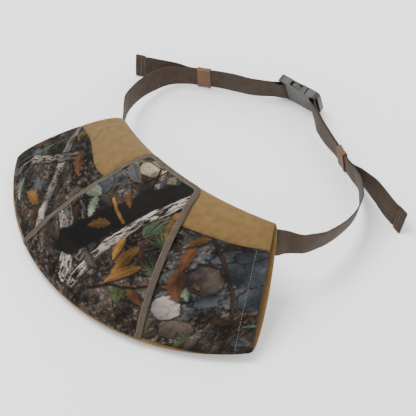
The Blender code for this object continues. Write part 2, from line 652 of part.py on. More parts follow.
def route_ups(points):
    """Width directions along a route: upright, leaned towards the middle of the loop."""
    lean = np.radians(np.array(points, dtype=float)[:, 3:])
    inward = (LOOP_MIDDLE - route(points)) * np.array([1.0, 1.0, 0.0])
    return UPRIGHT * np.cos(lean) + unit(inward) * np.sin(lean)


def spline(points, ups, step):
    """Centripetal Catmull-Rom curve through the points, sampled about every step.

    The width directions are blended with the same weights and squared up to the curve.
    """
    first = 2 * points[0] - points[1]
    last = 2 * points[-1] - points[-2]
    padded = np.vstack([first, points, last])
    padded_ups = np.vstack([ups[0], ups, ups[-1]])
    knots = np.concatenate([[0], np.cumsum(np.linalg.norm(np.diff(padded, axis=0), axis=1) ** 0.5)])
    line, width = [], []
    for i in range(1, len(padded) - 2):
        length = np.linalg.norm(padded[i + 1] - padded[i])
        count = max(1, int(round(length / step)))
        share = np.arange(count)[:, None] / count
        t0, t1, t2, t3 = knots[i - 1:i + 3]
        t = t1 + (t2 - t1) * share
        a1 = (t1 - t) / (t1 - t0) * padded[i - 1] + (t - t0) / (t1 - t0) * padded[i]
        a2 = (t2 - t) / (t2 - t1) * padded[i] + (t - t1) / (t2 - t1) * padded[i + 1]
        a3 = (t3 - t) / (t3 - t2) * padded[i + 1] + (t - t2) / (t3 - t2) * padded[i + 2]
        b1 = (t2 - t) / (t2 - t0) * a1 + (t - t0) / (t2 - t0) * a2
        b2 = (t3 - t) / (t3 - t1) * a2 + (t - t1) / (t3 - t1) * a3
        line.append((t2 - t) / (t2 - t1) * b1 + (t - t1) / (t2 - t1) * b2)
        width.append(padded_ups[i] * (1 - share) + padded_ups[i + 1] * share)
    line.append(padded[-2][None, :])
    width.append(padded_ups[-2][None, :])
    return np.vstack(line), square_up(np.vstack(line), np.vstack(width))


def tangents(line):
    return unit(np.gradient(line, axis=0))


def square_up(line, width):
    """Make the width directions unit length and square to the line."""
    along = tangents(line)
    return unit(width - along * np.sum(width * along, axis=1, keepdims=True))


def anchor_points(side):
    """Webbing sewn behind one end of the muff: points off the back panel and width directions."""
    inset = ANCHOR_INSET_RIGHT if side > 0 else ANCHOR_INSET_LEFT
    peel = ANCHOR_PEEL_RIGHT if side > 0 else ANCHOR_PEEL_LEFT
    places = side * (1 - (inset + ANCHOR_DEPTH * np.array([1.0, 0.5, 0.0])) / (TOP_WIDTH / 2))
    angle = 2 * math.pi - (ANCHOR_ANGLE_RIGHT if side > 0 else ANCHOR_ANGLE_LEFT)
    lift = -(ANCHOR_LIFT + WEB_THICK / 2) - np.array([0.0, 0.2, 1.0]) * peel
    points = muff_point(places, angle, lift)
    up = muff_point(places, angle + 0.05, lift) - muff_point(places, angle - 0.05, lift)
    return points, unit(up)


def doubled_middle(bar, side, turn, radius, keeper):
    """Middle line of the doubled webbing, from the bar's centre to the far end of the keeper."""
    bends = np.linspace(0, turn, 5)
    out = np.array([BAR_OUT, (BAR_OUT + TURN_OUT) / 2, *(TURN_OUT - radius * np.sin(bends))])
    along = np.array([0.0, 0.0, *(radius - radius * np.cos(bends))])
    start = buckle_point(bar + side * along, np.zeros_like(along), out)
    points = np.vstack([start, route(keeper)[::-1]])
    ups = np.vstack([np.tile(WIDE, (len(start), 1)), route_ups(keeper)[::-1]])
    return spline(points, ups, DOUBLED_STEP)


def strap_line(side, bar, turn, radius, run, keeper, tail):
    """Centre line and width directions of one length of webbing, from its anchor to its tail.

    The third value is the number of the point where the doubled stretch begins.
    """
    middle, ups = doubled_middle(bar, side, turn, radius, keeper)
    across = np.cross(tangents(middle), ups)
    if np.dot(across[0], -side * ALONG) < 0:
        across = -across
    travelled = np.concatenate([[0], np.cumsum(np.linalg.norm(np.diff(middle, axis=0), axis=1))])
    closed = (WEB_THICK + LAYER_GAP) / 2
    spread = WEB_CENTRE_RADIUS + (closed - WEB_CENTRE_RADIUS) * smooth(travelled / CLOSING_LENGTH)
    near = middle + across * spread[:, None]
    far = middle - across * spread[:, None]
    half_turn = np.linspace(0, math.pi, 9)[1:-1]
    loop_along = bar - side * WEB_CENTRE_RADIUS * np.cos(half_turn)
    loop = buckle_point(loop_along, np.zeros_like(half_turn), BAR_OUT + WEB_CENTRE_RADIUS * np.sin(half_turn))
    anchor, anchor_up = anchor_points(side)
    lead, lead_ups = spline(np.vstack([anchor, route(run), near[-1]]),
                            np.vstack([anchor_up, route_ups(run), ups[-1]]), WEB_STEP)
    end, end_ups = spline(np.vstack([far[-1], route(tail)]), np.vstack([ups[-1], route_ups(tail)]), WEB_STEP)
    line = np.vstack([lead[:-1], near[::-1], loop, far[:-1], end])
    width = np.vstack([lead_ups[:-1], ups[::-1], np.tile(WIDE, (len(loop), 1)), ups[:-1], end_ups])
    return line, square_up(line, width), len(lead) - 1


def ribbon(name, line, width, material, folded=False):
    """Sweep the webbing's rectangle along a centre line; a folded end is doubled in thickness."""
    across = np.cross(tangents(line), width)
    thick = np.full(len(line), WEB_THICK)
    from_end = np.linalg.norm(line - line[-1], axis=1)
    if folded:
        thick[from_end < TAIL_FOLD] = 2 * WEB_THICK
    wide = width * HALF_WEB
    deep = across * (thick / 2)[:, None]
    rings = np.stack([line - wide - deep, line + wide - deep, line + wide + deep, line - wide + deep], axis=1)
    vertices = rings.reshape(-1, 3)
    faces = []
    for i in range(len(line) - 1):
        for j in range(4):
            k = (j + 1) % 4
            faces.append((4 * i + j, 4 * i + k, 4 * i + 4 + k, 4 * i + 4 + j))
    faces.append((0, 1, 2, 3))
    last = 4 * (len(line) - 1)
    faces.append((last, last + 1, last + 2, last + 3))
    return add_object(name, vertices, faces, material)


def build_keeper(name, keeper, material):
    """Elastic loop round both layers, on the straight stretch of the doubled webbing."""
    points = route(keeper)
    centre = points[1]
    along = unit(points[2] - points[0])
    lean_up = route_ups(keeper)[1]
    up = unit(lean_up - along * np.dot(lean_up, along))
    deep = np.cross(along, up)
    inner = (HALF_WEB + KEEPER_CLEARANCE, WEB_THICK + LAYER_GAP / 2 + KEEPER_CLEARANCE)
    outer = (inner[0] + KEEPER_WALL, inner[1] + KEEPER_WALL)
    corners = ((-1, -1), (1, -1), (1, 1), (-1, 1))
    vertices = []
    for end in (-1, 1):
        for half_up, half_deep in (outer, inner):
            for a, b in corners:
                place = centre + along * end * KEEPER_LENGTH / 2
                vertices.append(place + up * a * half_up + deep * b * half_deep)
    faces = []
    for j in range(4):
        k = (j + 1) % 4
        faces.append((j, k, 8 + k, 8 + j))
        faces.append((4 + k, 4 + j, 12 + j, 12 + k))
        faces.append((k, j, 4 + j, 4 + k))
        faces.append((8 + j, 8 + k, 12 + k, 12 + j))
    return add_object(name, vertices, faces, material)


def build_belt(webbing, elastic):
    line, width, _ = strap_line(-1, -SOCKET_BAR, LEFT_TURN, LEFT_BEND, LEFT_RUN, LEFT_KEEPER, LEFT_TAIL)
    ribbon("left_strap", line, width, webbing, folded=True)
    line, width, doubled = strap_line(1, PLUG_BAR, RIGHT_TURN, RIGHT_BEND,
                                      RIGHT_RUN, RIGHT_KEEPER, RIGHT_TAIL)
    split_right_strap(line, width, doubled, webbing)
    build_keeper("left_keeper", LEFT_KEEPER, elastic)
    build_keeper("right_keeper", RIGHT_KEEPER, elastic)


def split_right_strap(line, width, doubled, webbing):
    """The stretch between the keeper and the plug is its own node, because it gives way."""
    points = route(RIGHT_KEEPER)
    along = unit(points[2] - points[0])
    cut = points[1] + along * (KEEPER_LENGTH / 2 + KEEPER_TRAVEL + KEEPER_MARGIN)
    beyond = (line - cut) @ along > 0
    beyond[:doubled] = False
    ids = np.flatnonzero(beyond)
    start, stop = ids[0], ids[-1]
    share = GAP / np.linalg.norm(line[start] - line[start - 1])
    run_end = line[start] + (line[start - 1] - line[start]) * share
    share = GAP / np.linalg.norm(line[stop + 1] - line[stop])
    tail_start = line[stop] + (line[stop + 1] - line[stop]) * share
    ribbon("right_strap_run", np.vstack([line[:start], run_end]), width[:start + 1], webbing)
    ribbon("right_strap_loop", line[start:stop + 1], width[start:stop + 1], webbing)
    ribbon("right_strap_tail", np.vstack([tail_start, line[stop + 1:]]), width[stop:], webbing, folded=True)


def centre_on_floor():
    """Move the model so that the origin is under the middle of its box, on the floor.

    Returns how far it was moved.
    """
    bpy.context.view_layer.update()
    parts = [item for item in bpy.data.objects if not item.hide_render]
    corners = []
    for item in parts:
        places = np.empty(len(item.data.vertices) * 3)
        item.data.vertices.foreach_get("co", places)
        places = places.reshape(-1, 3)
        corners += [places.min(axis=0), places.max(axis=0)]
    low, high = np.min(corners, axis=0), np.max(corners, axis=0)
    shift = np.array([-(low[0] + high[0]) / 2, -(low[1] + high[1]) / 2, -low[2]])
    for item in bpy.data.objects:
        places = np.empty(len(item.data.vertices) * 3)
        item.data.vertices.foreach_get("co", places)
        places = (places.reshape(-1, 3) + shift).ravel()
        item.data.vertices.foreach_set("co", places)
        item.data.update()
    return shift


def set_origin(name, place):
    """Put a moving piece's origin on its joint's axis and leave its shape where it is."""
    item = bpy.data.objects[name]
    item.data.transform(Matrix.Translation(-Vector(place)))
    item.location = place


def set_moving_origins(shift):
    set_origin("buckle_plug", BUCKLE_ORIGIN + shift)
    for name, side in (("release_arm_upper", 1), ("release_arm_lower", -1)):
        set_origin(name, buckle_point(KNUCKLE_INSET, side * ARM_ROOT_WIDE, 0.0) + shift)
    set_origin("left_keeper", route(LEFT_KEEPER)[1] + shift)
    set_origin("right_keeper", route(RIGHT_KEEPER)[1] + shift)


def build():
    clear_scene()
    camo = make_material("camo_polyester", (0.10, 0.09, 0.07), 0.85)
    tan = make_material("tan_fleece", (0.32, 0.20, 0.09), 0.9)
    fleece = make_material("lining_fleece", (0.28, 0.17, 0.08), 0.95)
    wadding = make_material("wadding", (0.7, 0.7, 0.68), 0.95)
    grosgrain = make_material("grosgrain_tape", (0.15, 0.12, 0.10), 0.8)
    webbing = make_material("brown_webbing", (0.07, 0.05, 0.04), 0.75)
    elastic = make_material("tan_elastic", (0.22, 0.14, 0.10), 0.8)
    plastic = make_material("olive_acetal", (0.08, 0.075, 0.06), 0.45)
    build_front(camo, tan)
    build_back(tan)
    build_inside(wadding, fleece)
    build_pocket(camo, grosgrain)
    build_socket(plastic)
    build_plug(plastic)
    build_arms(plastic)
    build_belt(webbing, elastic)
    set_moving_origins(centre_on_floor())


build()
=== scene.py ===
"""Looks of a padded hand muff with a front pocket and a webbing waist belt.

The muff's skins are worked out from one curved middle surface and a simulated padding. Its printed
cloth is painted point by point with leaves, bark, stones and needles of a made-up woodland. The
belt, keepers, tapes and stitches are profiles carried along paths. All lengths are in metres.
"""

import logging
import math
from dataclasses import dataclass
from enum import Enum
from typing import Callable, Optional, Sequence

import bmesh
import bpy
import numpy as np
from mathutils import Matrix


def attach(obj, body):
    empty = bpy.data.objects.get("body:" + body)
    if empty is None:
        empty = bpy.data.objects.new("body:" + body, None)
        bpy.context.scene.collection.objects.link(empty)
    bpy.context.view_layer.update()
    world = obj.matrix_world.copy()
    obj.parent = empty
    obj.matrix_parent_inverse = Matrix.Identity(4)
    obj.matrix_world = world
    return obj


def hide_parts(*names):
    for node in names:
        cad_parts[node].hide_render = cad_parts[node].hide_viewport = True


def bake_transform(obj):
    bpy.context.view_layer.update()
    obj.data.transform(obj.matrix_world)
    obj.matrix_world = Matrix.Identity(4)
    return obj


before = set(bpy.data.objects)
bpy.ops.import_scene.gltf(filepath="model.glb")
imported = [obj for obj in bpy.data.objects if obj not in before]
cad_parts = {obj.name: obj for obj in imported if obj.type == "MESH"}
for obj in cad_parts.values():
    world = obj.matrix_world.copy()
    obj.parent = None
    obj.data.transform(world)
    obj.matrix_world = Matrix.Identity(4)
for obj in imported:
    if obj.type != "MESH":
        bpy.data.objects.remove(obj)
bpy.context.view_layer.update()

logging.basicConfig(level=logging.INFO, format="%(message)s")
LOG = logging.getLogger("muff")

MM = 0.001
Array = np.ndarray


class Side(Enum):
    """The muff's two ends, as seen from the front."""

    LEFT = -1
    RIGHT = 1


# ---- small tools ----------------------------------------------------------------------------
def smooth(value: Array) -> Array:
    """Blend from 0 to 1 with level ends: 3 t squared minus 2 t cubed."""
    value = np.clip(value, 0.0, 1.0)
    return value * value * (3 - 2 * value)


def unit(vectors: Array) -> Array:
    """Scale vectors to length one."""
    return vectors / np.maximum(np.linalg.norm(vectors, axis=-1, keepdims=True), 1e-12)


def travelled(line: Array) -> Array:
    """Distance along a line of points, from its first point."""
    steps = np.linalg.norm(np.diff(line, axis=0), axis=1)
    return np.concatenate([[0.0], np.cumsum(steps)])


def linear(hex_colour: str) -> Array:
    """Turn an sRGB hex colour into linear red, green and blue.

    Args:
        hex_colour: six hex digits, such as "9A7A50".

    Returns:
        Three values from 0 to 1.
    """
    share = np.array([int(hex_colour[i:i + 2], 16) for i in (0, 2, 4)]) / 255
    return np.where(share <= 0.04045, share / 12.92, ((share + 0.055) / 1.055) ** 2.4)


def rgba(hex_colour: str) -> tuple:
    """The same colour with full cover, as a socket takes it."""
    return (*linear(hex_colour), 1.0)


def grid_faces(rows: int, columns: int, around: bool = False) -> Array:
    """Quads of a grid of points numbered row by row.

    Args:
        rows: number of rows of points.
        columns: number of points in a row.
        around: whether the last point of each row joins its first.

    Returns:
        One row of four point numbers for each quad.
    """
    numbers = np.arange(rows * columns).reshape(rows, columns)
    if around:
        numbers = np.concatenate([numbers, numbers[:, :1]], axis=1)
    corners = (numbers[:-1, :-1], numbers[:-1, 1:], numbers[1:, 1:], numbers[1:, :-1])
    return np.stack([corner.ravel() for corner in corners], axis=1)


def facing_out(points: Array, faces: Array) -> Array:
    """Turn all quads of a closed mesh round if its signed volume is negative.

    The volume is the sum, over both triangles of each quad, of a dot (b cross c) over six.
    """
    volume = 0.0
    for i, j, k in ((0, 1, 2), (0, 2, 3)):
        a, b, c = points[faces[:, i]], points[faces[:, j]], points[faces[:, k]]
        volume += np.sum(a * np.cross(b, c))
    return faces if volume > 0 else faces[:, ::-1]


def make_piece(name: str, points: Array, faces: Array, uv: Optional[Array] = None,
               paint: Optional[Array] = None) -> bpy.types.Object:
    """Put arrays into a smooth-shaded object that sits at the origin.

    Args:
        name: the piece's name.
        points: one place per point.
        faces: point numbers of each quad.
        uv: each point's place on the cloth, in metres.
        paint: each point's linear colour.

    Returns:
        The new object.
    """
    mesh = bpy.data.meshes.new(name)
    faces = facing_out(points, faces)
    mesh.vertices.add(len(points))
    mesh.vertices.foreach_set("co", points.astype(np.float32).ravel())
    mesh.loops.add(faces.size)
    mesh.loops.foreach_set("vertex_index", faces.astype(np.int32).ravel())
    mesh.polygons.add(len(faces))
    mesh.polygons.foreach_set("loop_start", np.arange(0, faces.size, 4, dtype=np.int32))
    mesh.update(calc_edges=True)
    mesh.validate()
    if uv is not None:
        layer = mesh.uv_layers.new(name="cloth")
        layer.data.foreach_set("uv", uv[faces.ravel()].astype(np.float32).ravel())
    if paint is not None:
        layer = mesh.color_attributes.new("print", "FLOAT_COLOR", "POINT")
        layer.data.foreach_set("color",
                               np.column_stack([paint, np.ones(len(paint))]).astype(np.float32).ravel())
    mesh.shade_smooth()
    piece = bpy.data.objects.new(name, mesh)
    bpy.context.scene.collection.objects.link(piece)
    LOG.info("%s: %d quads", name, len(faces))
    return piece


def closed_sheet(name: str, outer: Array, inner: Array, uv: Array, paint: Optional[Array] = None,
                 around: bool = False) -> bpy.types.Object:
    """A sheet with two faces and walled edges, from two matching grids of points.

    Args:
        name: the piece's name.
        outer: grid of the outer face, rows by columns by three.
        inner: grid of the inner face.
        uv: grid of places on the cloth, rows by columns by two.
        paint: grid of linear colours.
        around: whether each row is a closed ring.

    Returns:
        The new object.
    """
    rows, columns = outer.shape[:2]
    count = rows * columns
    face = grid_faces(rows, columns, around)
    numbers = np.arange(count).reshape(rows, columns)
    if around:
        numbers = np.concatenate([numbers, numbers[:, :1]], axis=1)
        border = [numbers[0], numbers[-1][::-1]]
    else:
        border = [numbers[0], numbers[:, -1], numbers[-1][::-1], numbers[::-1, 0]]
    walls = [np.stack([edge[1:], edge[:-1], edge[:-1] + count, edge[1:] + count], axis=1) for edge in border]
    faces = np.concatenate([face, face[:, ::-1] + count, *walls])
    points = np.concatenate([outer.reshape(-1, 3), inner.reshape(-1, 3)])
    flat_uv = np.concatenate([uv.reshape(-1, 2)] * 2)
    flat_paint = None if paint is None else np.concatenate([paint.reshape(-1, 3)] * 2)
    return make_piece(name, points, faces, flat_uv, flat_paint)


def border_distances(grid: Array) -> Array:
    """Distance of each grid point to the first row, last row, first column and last column.

    Each is the running length of the grid's own lines towards that border.
    """
    down = np.linalg.norm(np.diff(grid, axis=0), axis=2)
    right = np.linalg.norm(np.diff(grid, axis=1), axis=2)
    from_top = np.vstack([np.zeros(grid.shape[1]), np.cumsum(down, axis=0)])
    from_left = np.hstack([np.zeros((grid.shape[0], 1)), np.cumsum(right, axis=1)])
    return np.stack([from_top, from_top[-1:] - from_top, from_left, from_left[:, -1:] - from_left])


def packed_columns(low: float, high: float, count: int, ends: float = 0.35) -> Array:
    """Places from low to high, closer together near both ends."""
    share = np.linspace(0, 1, count)
    share = share - ends * np.sin(2 * math.pi * share) / (2 * math.pi)
    return low + (high - low) * share


# ---- finishes -------------------------------------------------------------------------------
def add_node(tree: bpy.types.NodeTree, kind: str, settings: Optional[dict] = None,
             links: Optional[dict] = None) -> bpy.types.ShaderNode:
    """Add one shader node.

    Args:
        tree: the material's node tree.
        kind: the node's type name without "ShaderNode".
        settings: values of properties, and of inputs by name or number.
        links: output sockets that feed inputs, by the input's name or number.

    Returns:
        The new node.
    """
    node = tree.nodes.new("ShaderNode" + kind)
    for key, value in (settings or {}).items():
        if isinstance(key, str) and hasattr(node, key):
            setattr(node, key, value)
        else:
            node.inputs[key].default_value = value
    for key, output in (links or {}).items():
        tree.links.new(output, node.inputs[key])
    return node


class Pattern(Enum):
    """How a finish varies over its surface."""

    WOVEN = "woven"
    BRUSHED = "brushed"
    RIBBED = "ribbed"
    MOULDED = "moulded"


@dataclass(frozen=True)
class Finish:
    """A real material: its name, how it was made, its colours and the size of its pattern.

    Attributes:
        name: common name of the material.
        base: main colour, sRGB hex.
        second: colour it varies towards, in slow blotches of its own colour and as painted shade where its
            pattern is low.
        pattern: how the surface was made.
        grain: size of one thread, rib or grain, in metres.
        across: spacing of the second set of ribs or threads, in metres.
        roughness: from 0, polished, to 1, matte.
        sheen: soft edge light of loose fibres.
        relief: height of the pattern, in metres.
        blotch: size of the slow colour variation, in metres.
        printed: whether the colour comes from the painted print.
    """

    name: str
    base: str
    second: str
    pattern: Pattern
    grain: float
    across: float
    roughness: float
    sheen: float
    relief: float
    blotch: float = 14 * MM
    printed: bool = False

    def make(self) -> bpy.types.Material:
        """Build the material's nodes.

        Returns:
            The material, whose pattern reads the piece's own cloth map, or Object coordinates
            where it is moulded.
        """
        material = bpy.data.materials.new(self.name)
        material.use_nodes = True
        tree = material.node_tree
        shader = tree.nodes["Principled BSDF"]
        shader.inputs["Roughness"].default_value = self.roughness
        shader.inputs["Sheen Weight"].default_value = self.sheen
        shader.inputs["Specular IOR Level"].default_value = 0.45 if self.pattern is Pattern.MOULDED else 0.12
        shader.inputs["Sheen Roughness"].default_value = 0.5
        place = add_node(tree, "TexCoord")
        on_cloth = place.outputs["Object"] if self.pattern is Pattern.MOULDED else place.outputs["UV"]
        slow = add_node(tree, "TexNoise", {"Scale": 1 / self.blotch, "Detail": 3.0}, {"Vector": on_cloth})
        fine = add_node(tree, "TexNoise", {"Scale": 1 / self.grain, "Detail": 2.0, "Roughness": 0.6},
                        {"Vector": on_cloth})
        height = self._height(tree, on_cloth, fine)
        # The mix follows the slow noise, the cloth's own uneven colour, and the pattern's height. Where
        # weave, ribs or fibres are low, the colour turns towards the second colour, or the print is scaled
        # darker: painted shade in their grooves and hollows.
        mixing = add_node(tree, "Math", {"operation": "MULTIPLY_ADD", 1: 0.55, 2: -0.02},
                          {0: slow.outputs["Fac"]})
        mixing = add_node(tree, "Math", {"operation": "MULTIPLY_ADD", 1: 0.45},
                          {0: height, 2: mixing.outputs[0]})
        if self.printed:
            painted = add_node(tree, "Attribute", {"attribute_name": "print"})
            shade = add_node(tree, "MapRange", {"To Min": 0.46, "To Max": 0.86}, {"Value": mixing.outputs[0]})
            colour = add_node(tree, "VectorMath", {"operation": "SCALE"},
                              {0: painted.outputs["Color"], "Scale": shade.outputs["Result"]})
            tree.links.new(colour.outputs["Vector"], shader.inputs["Base Color"])
        else:
            colour = add_node(tree, "Mix", {"data_type": "RGBA", 6: rgba(self.second), 7: rgba(self.base)},
                              {0: mixing.outputs[0]})
            tree.links.new(colour.outputs[2], shader.inputs["Base Color"])
        bump = add_node(tree, "Bump", {"Strength": 0.7, "Distance": self.relief}, {"Height": height})
        tree.links.new(bump.outputs["Normal"], shader.inputs["Normal"])
        return material

    def _height(self, tree: bpy.types.NodeTree, place: bpy.types.NodeSocket,
                fine: bpy.types.ShaderNode) -> bpy.types.NodeSocket:
        """Height of the pattern from 0 to 1: noise, or the product of two sets of waves.

        Args:
            tree: the material's node tree.
            place: where the pattern is read.
            fine: the fine noise.

        Returns:
            The socket that gives the height.
        """
        if self.pattern in (Pattern.BRUSHED, Pattern.MOULDED):
            return fine.outputs["Fac"]
        wave = {"wave_type": "BANDS", "Distortion": 0.6, "Detail": 1.0, "Detail Scale": 2.0}
        turns = 2 * math.pi / 20
        along = add_node(tree, "TexWave", {**wave, "bands_direction": "X", "Scale": turns / self.grain},
                         {"Vector": place})
        over = add_node(tree, "TexWave", {**wave, "bands_direction": "Y", "Scale": turns / self.across},
                        {"Vector": place})
        share = 0.75 if self.pattern is Pattern.RIBBED else 0.5
        both = add_node(tree, "Math", {"operation": "MULTIPLY", 1: 1 - share}, {0: over.outputs["Fac"]})
        both = add_node(tree, "Math", {"operation": "MULTIPLY_ADD", 1: share},
                        {0: along.outputs["Fac"], 2: both.outputs[0]})
        return both.outputs[0]


# Printed polyester: a smooth, tight weave, drawn three times coarser than its 0.3 mm threads.
PRINTED = Finish("printed_polyester", "5C524A", "3A342F", Pattern.WOVEN, 0.9 * MM, 0.9 * MM, 0.78, 0.02,
                 0.05 * MM, printed=True)
# Brushed tricot: short raised fibres that look like fine suede, mottled over a few millimetres by its own
# uneven colour and by painted shade between the fibres.
TAN = Finish("brushed_tricot", "7B623C", "443319", Pattern.BRUSHED, 1.6 * MM, 1.6 * MM, 0.92, 0.15, 0.25 * MM,
             9 * MM)
# Micro fleece: deeper, looser fibres than the tricot, with darker painted shade in its hollows.
FLEECE = Finish("micro_fleece", "604627", "33230F", Pattern.BRUSHED, 2.2 * MM, 2.2 * MM, 0.97, 0.2, 0.5 * MM)
# Polyester wadding: white fibres, seen only if the muff is opened.
WADDING = Finish("polyester_wadding", "D8D6D0", "B8B6B0", Pattern.BRUSHED, 3 * MM, 3 * MM, 0.97, 0.3,
                 0.6 * MM)
# Grosgrain tape: fine ribs across its length, drawn at 1.1 mm.
TAPE = Finish("grosgrain_tape", "554B41", "332B24", Pattern.RIBBED, 1.1 * MM, 3 * MM, 0.82, 0.05, 0.12 * MM)
# Nylon webbing: heavy ribs about 2 mm apart crossed by floating threads.
WEBBING = Finish("nylon_webbing", "4F4135", "241C17", Pattern.RIBBED, 2.0 * MM, 2.7 * MM, 0.7, 0.04, 0.3 * MM)
# Woven elastic: close ribs over rubber cores.
ELASTIC = Finish("woven_elastic", "775B45", "4A362A", Pattern.RIBBED, 1.3 * MM, 2.0 * MM, 0.8, 0.05,
                 0.15 * MM)
# Acetal: moulded against a lightly spark-eroded mould, so satin with a fine grain.
ACETAL = Finish("moulded_acetal", "33312A", "27251F", Pattern.MOULDED, 0.7 * MM, 0.7 * MM, 0.4, 0.0,
                0.03 * MM,
                20 * MM)
# Spun polyester thread, in the cloth's tan and in a grey-brown.
TAN_THREAD = Finish("tan_thread", "6B5230", "54401F", Pattern.MOULDED, 0.5 * MM, 0.5 * MM, 0.8, 0.1,
                    0.02 * MM)
GREY_THREAD = Finish("grey_thread", "7D7468", "5F574D", Pattern.MOULDED, 0.5 * MM, 0.5 * MM, 0.8, 0.1,
                     0.02 * MM)


# ---- the muff's form ------------------------------------------------------------------------
@dataclass
class MuffForm:
    """The muff's layers round one curved middle surface.

    Places are given as across, from -1 at the left mouth to 1 at the right, and as the angle round
    the flattened section: 0 at the upper edge, pi at the lower edge, 2 pi at the upper edge again.
    The upper and lower edges are arcs, and the layers swell from the surface between them by a
    loft times the sine of the angle to a power below one, which makes a blunt lens.
    """

    top_width: float = 272 * MM
    top_sag: float = 26 * MM
    top_shift: float = 8 * MM
    top_heights: tuple = (68 * MM, 96 * MM, 107 * MM)
    top_front: float = -52 * MM
    bottom_width: float = 426 * MM
    bottom_sag: float = 101 * MM
    slant_run: float = 180 * MM
    lower_skew: float = 3 * MM
    lower_lift: float = 3.6 * MM
    lower_lift_right: float = 8 * MM
    front_loft: float = 21 * MM
    back_loft: float = 17 * MM
    mouth_front_loft: float = 10 * MM
    left_mouth_fuller: float = 10 * MM
    mouth_back_loft: float = 9 * MM
    back_reach: float = 0.035
    fullness: float = 0.75
    shell: float = 1.2 * MM
    lining: float = 1.0 * MM
    gap: float = 0.3 * MM
    front_pad: float = 7 * MM
    back_pad: float = 5 * MM
    mouth_pad: float = 1.7 * MM
    place: tuple = (9.40366 * MM, 12.69357 * MM, 1.27207 * MM)
    puff: Optional[Callable[[Array, Array], Array]] = None

    def middle(self, across: Array, down: Array) -> Array:
        """Points of the middle surface, an arc in each row, from across and the share down."""
        chord = self.top_width + (self.bottom_width - self.top_width) * down
        sag = self.top_sag + (self.bottom_sag - self.top_sag) * down
        radius = (chord * chord / 4 + sag * sag) / (2 * sag)
        swing = np.arcsin(chord / 2 / radius) * across
        left, centre, right = self.top_heights
        height = centre + (right - left) / 2 * across + ((right + left) / 2 - centre) * across * across
        lift = self.lower_lift + self.lower_lift_right * np.clip(across, 0, 1) ** 3
        x = radius * np.sin(swing) + self.top_shift * (1 - down)
        y = self.top_front + (self.lower_skew * across - self.slant_run) * down + radius * (1 - np.cos(swing))
        return np.stack(np.broadcast_arrays(x, y, height * (1 - down) + lift * down), axis=-1) + self.place

    def cloth_place(self, across: Array, angle: Array) -> Array:
        """Arc length along each row and down the slant, as the cloth lay when it was printed."""
        down = (1 - np.cos(angle)) / 2
        chord = self.top_width + (self.bottom_width - self.top_width) * down
        sag = self.top_sag + (self.bottom_sag - self.top_sag) * down
        radius = (chord * chord / 4 + sag * sag) / (2 * sag)
        return np.stack([radius * np.arcsin(chord / 2 / radius) * across, down * 196 * MM], axis=-1)

    def front_normal(self, across: Array, down: Array) -> Array:
        """Unit normal of the middle surface on its front, by central differences."""
        step = 1e-4
        along = self.middle(across + step, down) - self.middle(across - step, down)
        slope = self.middle(across, down + step) - self.middle(across, down - step)
        return unit(np.cross(slope, along))

    def loft(self, across: Array, mouth: Array, centre: float) -> Array:
        """Thickness that is full in the middle and thin at the mouths."""
        return mouth + (centre - mouth) * np.clip(1 - np.abs(across) ** 3, 0, 1) ** 0.8

    def point(self, across: Array, angle: Array, depth: Array) -> Array:
        """Points of the layer that lies depth inside the outer face.

        Args:
            across: place along the muff.
            angle: angle round the section.
            depth: how far inside, in metres.

        Returns:
            Points, with one more axis than the arguments.
        """
        across, angle, depth = np.broadcast_arrays(across, angle, depth)
        reach = np.where(np.sin(angle) < 0, -np.sin(angle), 0.0)
        across = across * (1 + self.back_reach * reach * across ** 4)
        slant = self.middle(across, np.ones_like(across)) - self.middle(across, np.zeros_like(across))
        down = 0.5 - (0.5 - depth / np.linalg.norm(slant, axis=-1)) * np.cos(angle)
        mouth_front = self.mouth_front_loft + self.left_mouth_fuller * smooth(-across)
        if self.puff is not None:
            depth = depth - self.puff(across, angle) * np.where(np.sin(angle) > 0, 1, 0)
        front = self.loft(across, mouth_front, self.front_loft) - depth
        back = depth - self.loft(across, self.mouth_back_loft, self.back_loft)
        rise = np.where(np.sin(angle) >= 0, front, back) * np.abs(np.sin(angle)) ** self.fullness
        return self.middle(across, down) + self.front_normal(across, down) * rise[..., None]

    def normal(self, across: Array, angle: Array) -> Array:
        """Unit normal of the outer face, pointing out."""
        step = 2e-3
        along = self.point(across + step, angle, 0.0) - self.point(across - step, angle, 0.0)
        turn = self.point(across, angle + step, 0.0) - self.point(across, angle - step, 0.0)
        return unit(np.cross(turn, along))

    def pad_depth(self, across: Array, angle: Array) -> Array:
        """Depth of the pad's inner face, blended between front and back at the muff's edges."""
        centre = self.back_pad + (self.front_pad - self.back_pad) * smooth(np.sin(angle) / 0.3 + 0.5)
        full = smooth(np.abs(np.sin(angle)) / 0.35) * 0.75 + 0.25
        return self.shell + self.gap + self.loft(across, self.mouth_pad,
                                                 self.mouth_pad + (centre - self.mouth_pad) * full)

    def wall(self, across: Array, angle: Array) -> Array:
        """Depth of the lining's inner face."""
        return self.pad_depth(across, angle) + self.gap + self.lining


@dataclass
class Seams:
    """Where the muff's panels meet, as section angles."""

    left_inner: float = 0.34
    right_inner: float = 0.25
    left_drops: tuple = (0.30, 0.34)
    right_drops: tuple = (0.27, 0.21)
    welt_turn: float = 0.24
    welt_turn_right: float = -0.06
    ridge: float = 0.004

    def welt(self, across: Array) -> Array:
        """Section angle of the seam near the lower edge."""
        turn = smooth((across - 0.45) / 0.5)
        return math.pi - (self.welt_turn + (self.welt_turn_right - self.welt_turn) * turn)

    def yoke(self, across: Array) -> Array:
        """Section angle of the seam under a yoke: a gentle S between two drops."""
        inner = np.where(across > 0, self.right_inner, self.left_inner)
        share = np.clip((np.abs(across) - inner) / (1 - inner), 0, 1)
        near = np.where(across > 0, self.right_drops[0], self.left_drops[0])
        far = np.where(across > 0, self.right_drops[1], self.left_drops[1])
        wave = np.where(across > 0, -0.010, 0.035) * np.sin(2 * math.pi * share)
        return np.arccos(1 - 2 * (near + (far - near) * smooth(share) + wave))


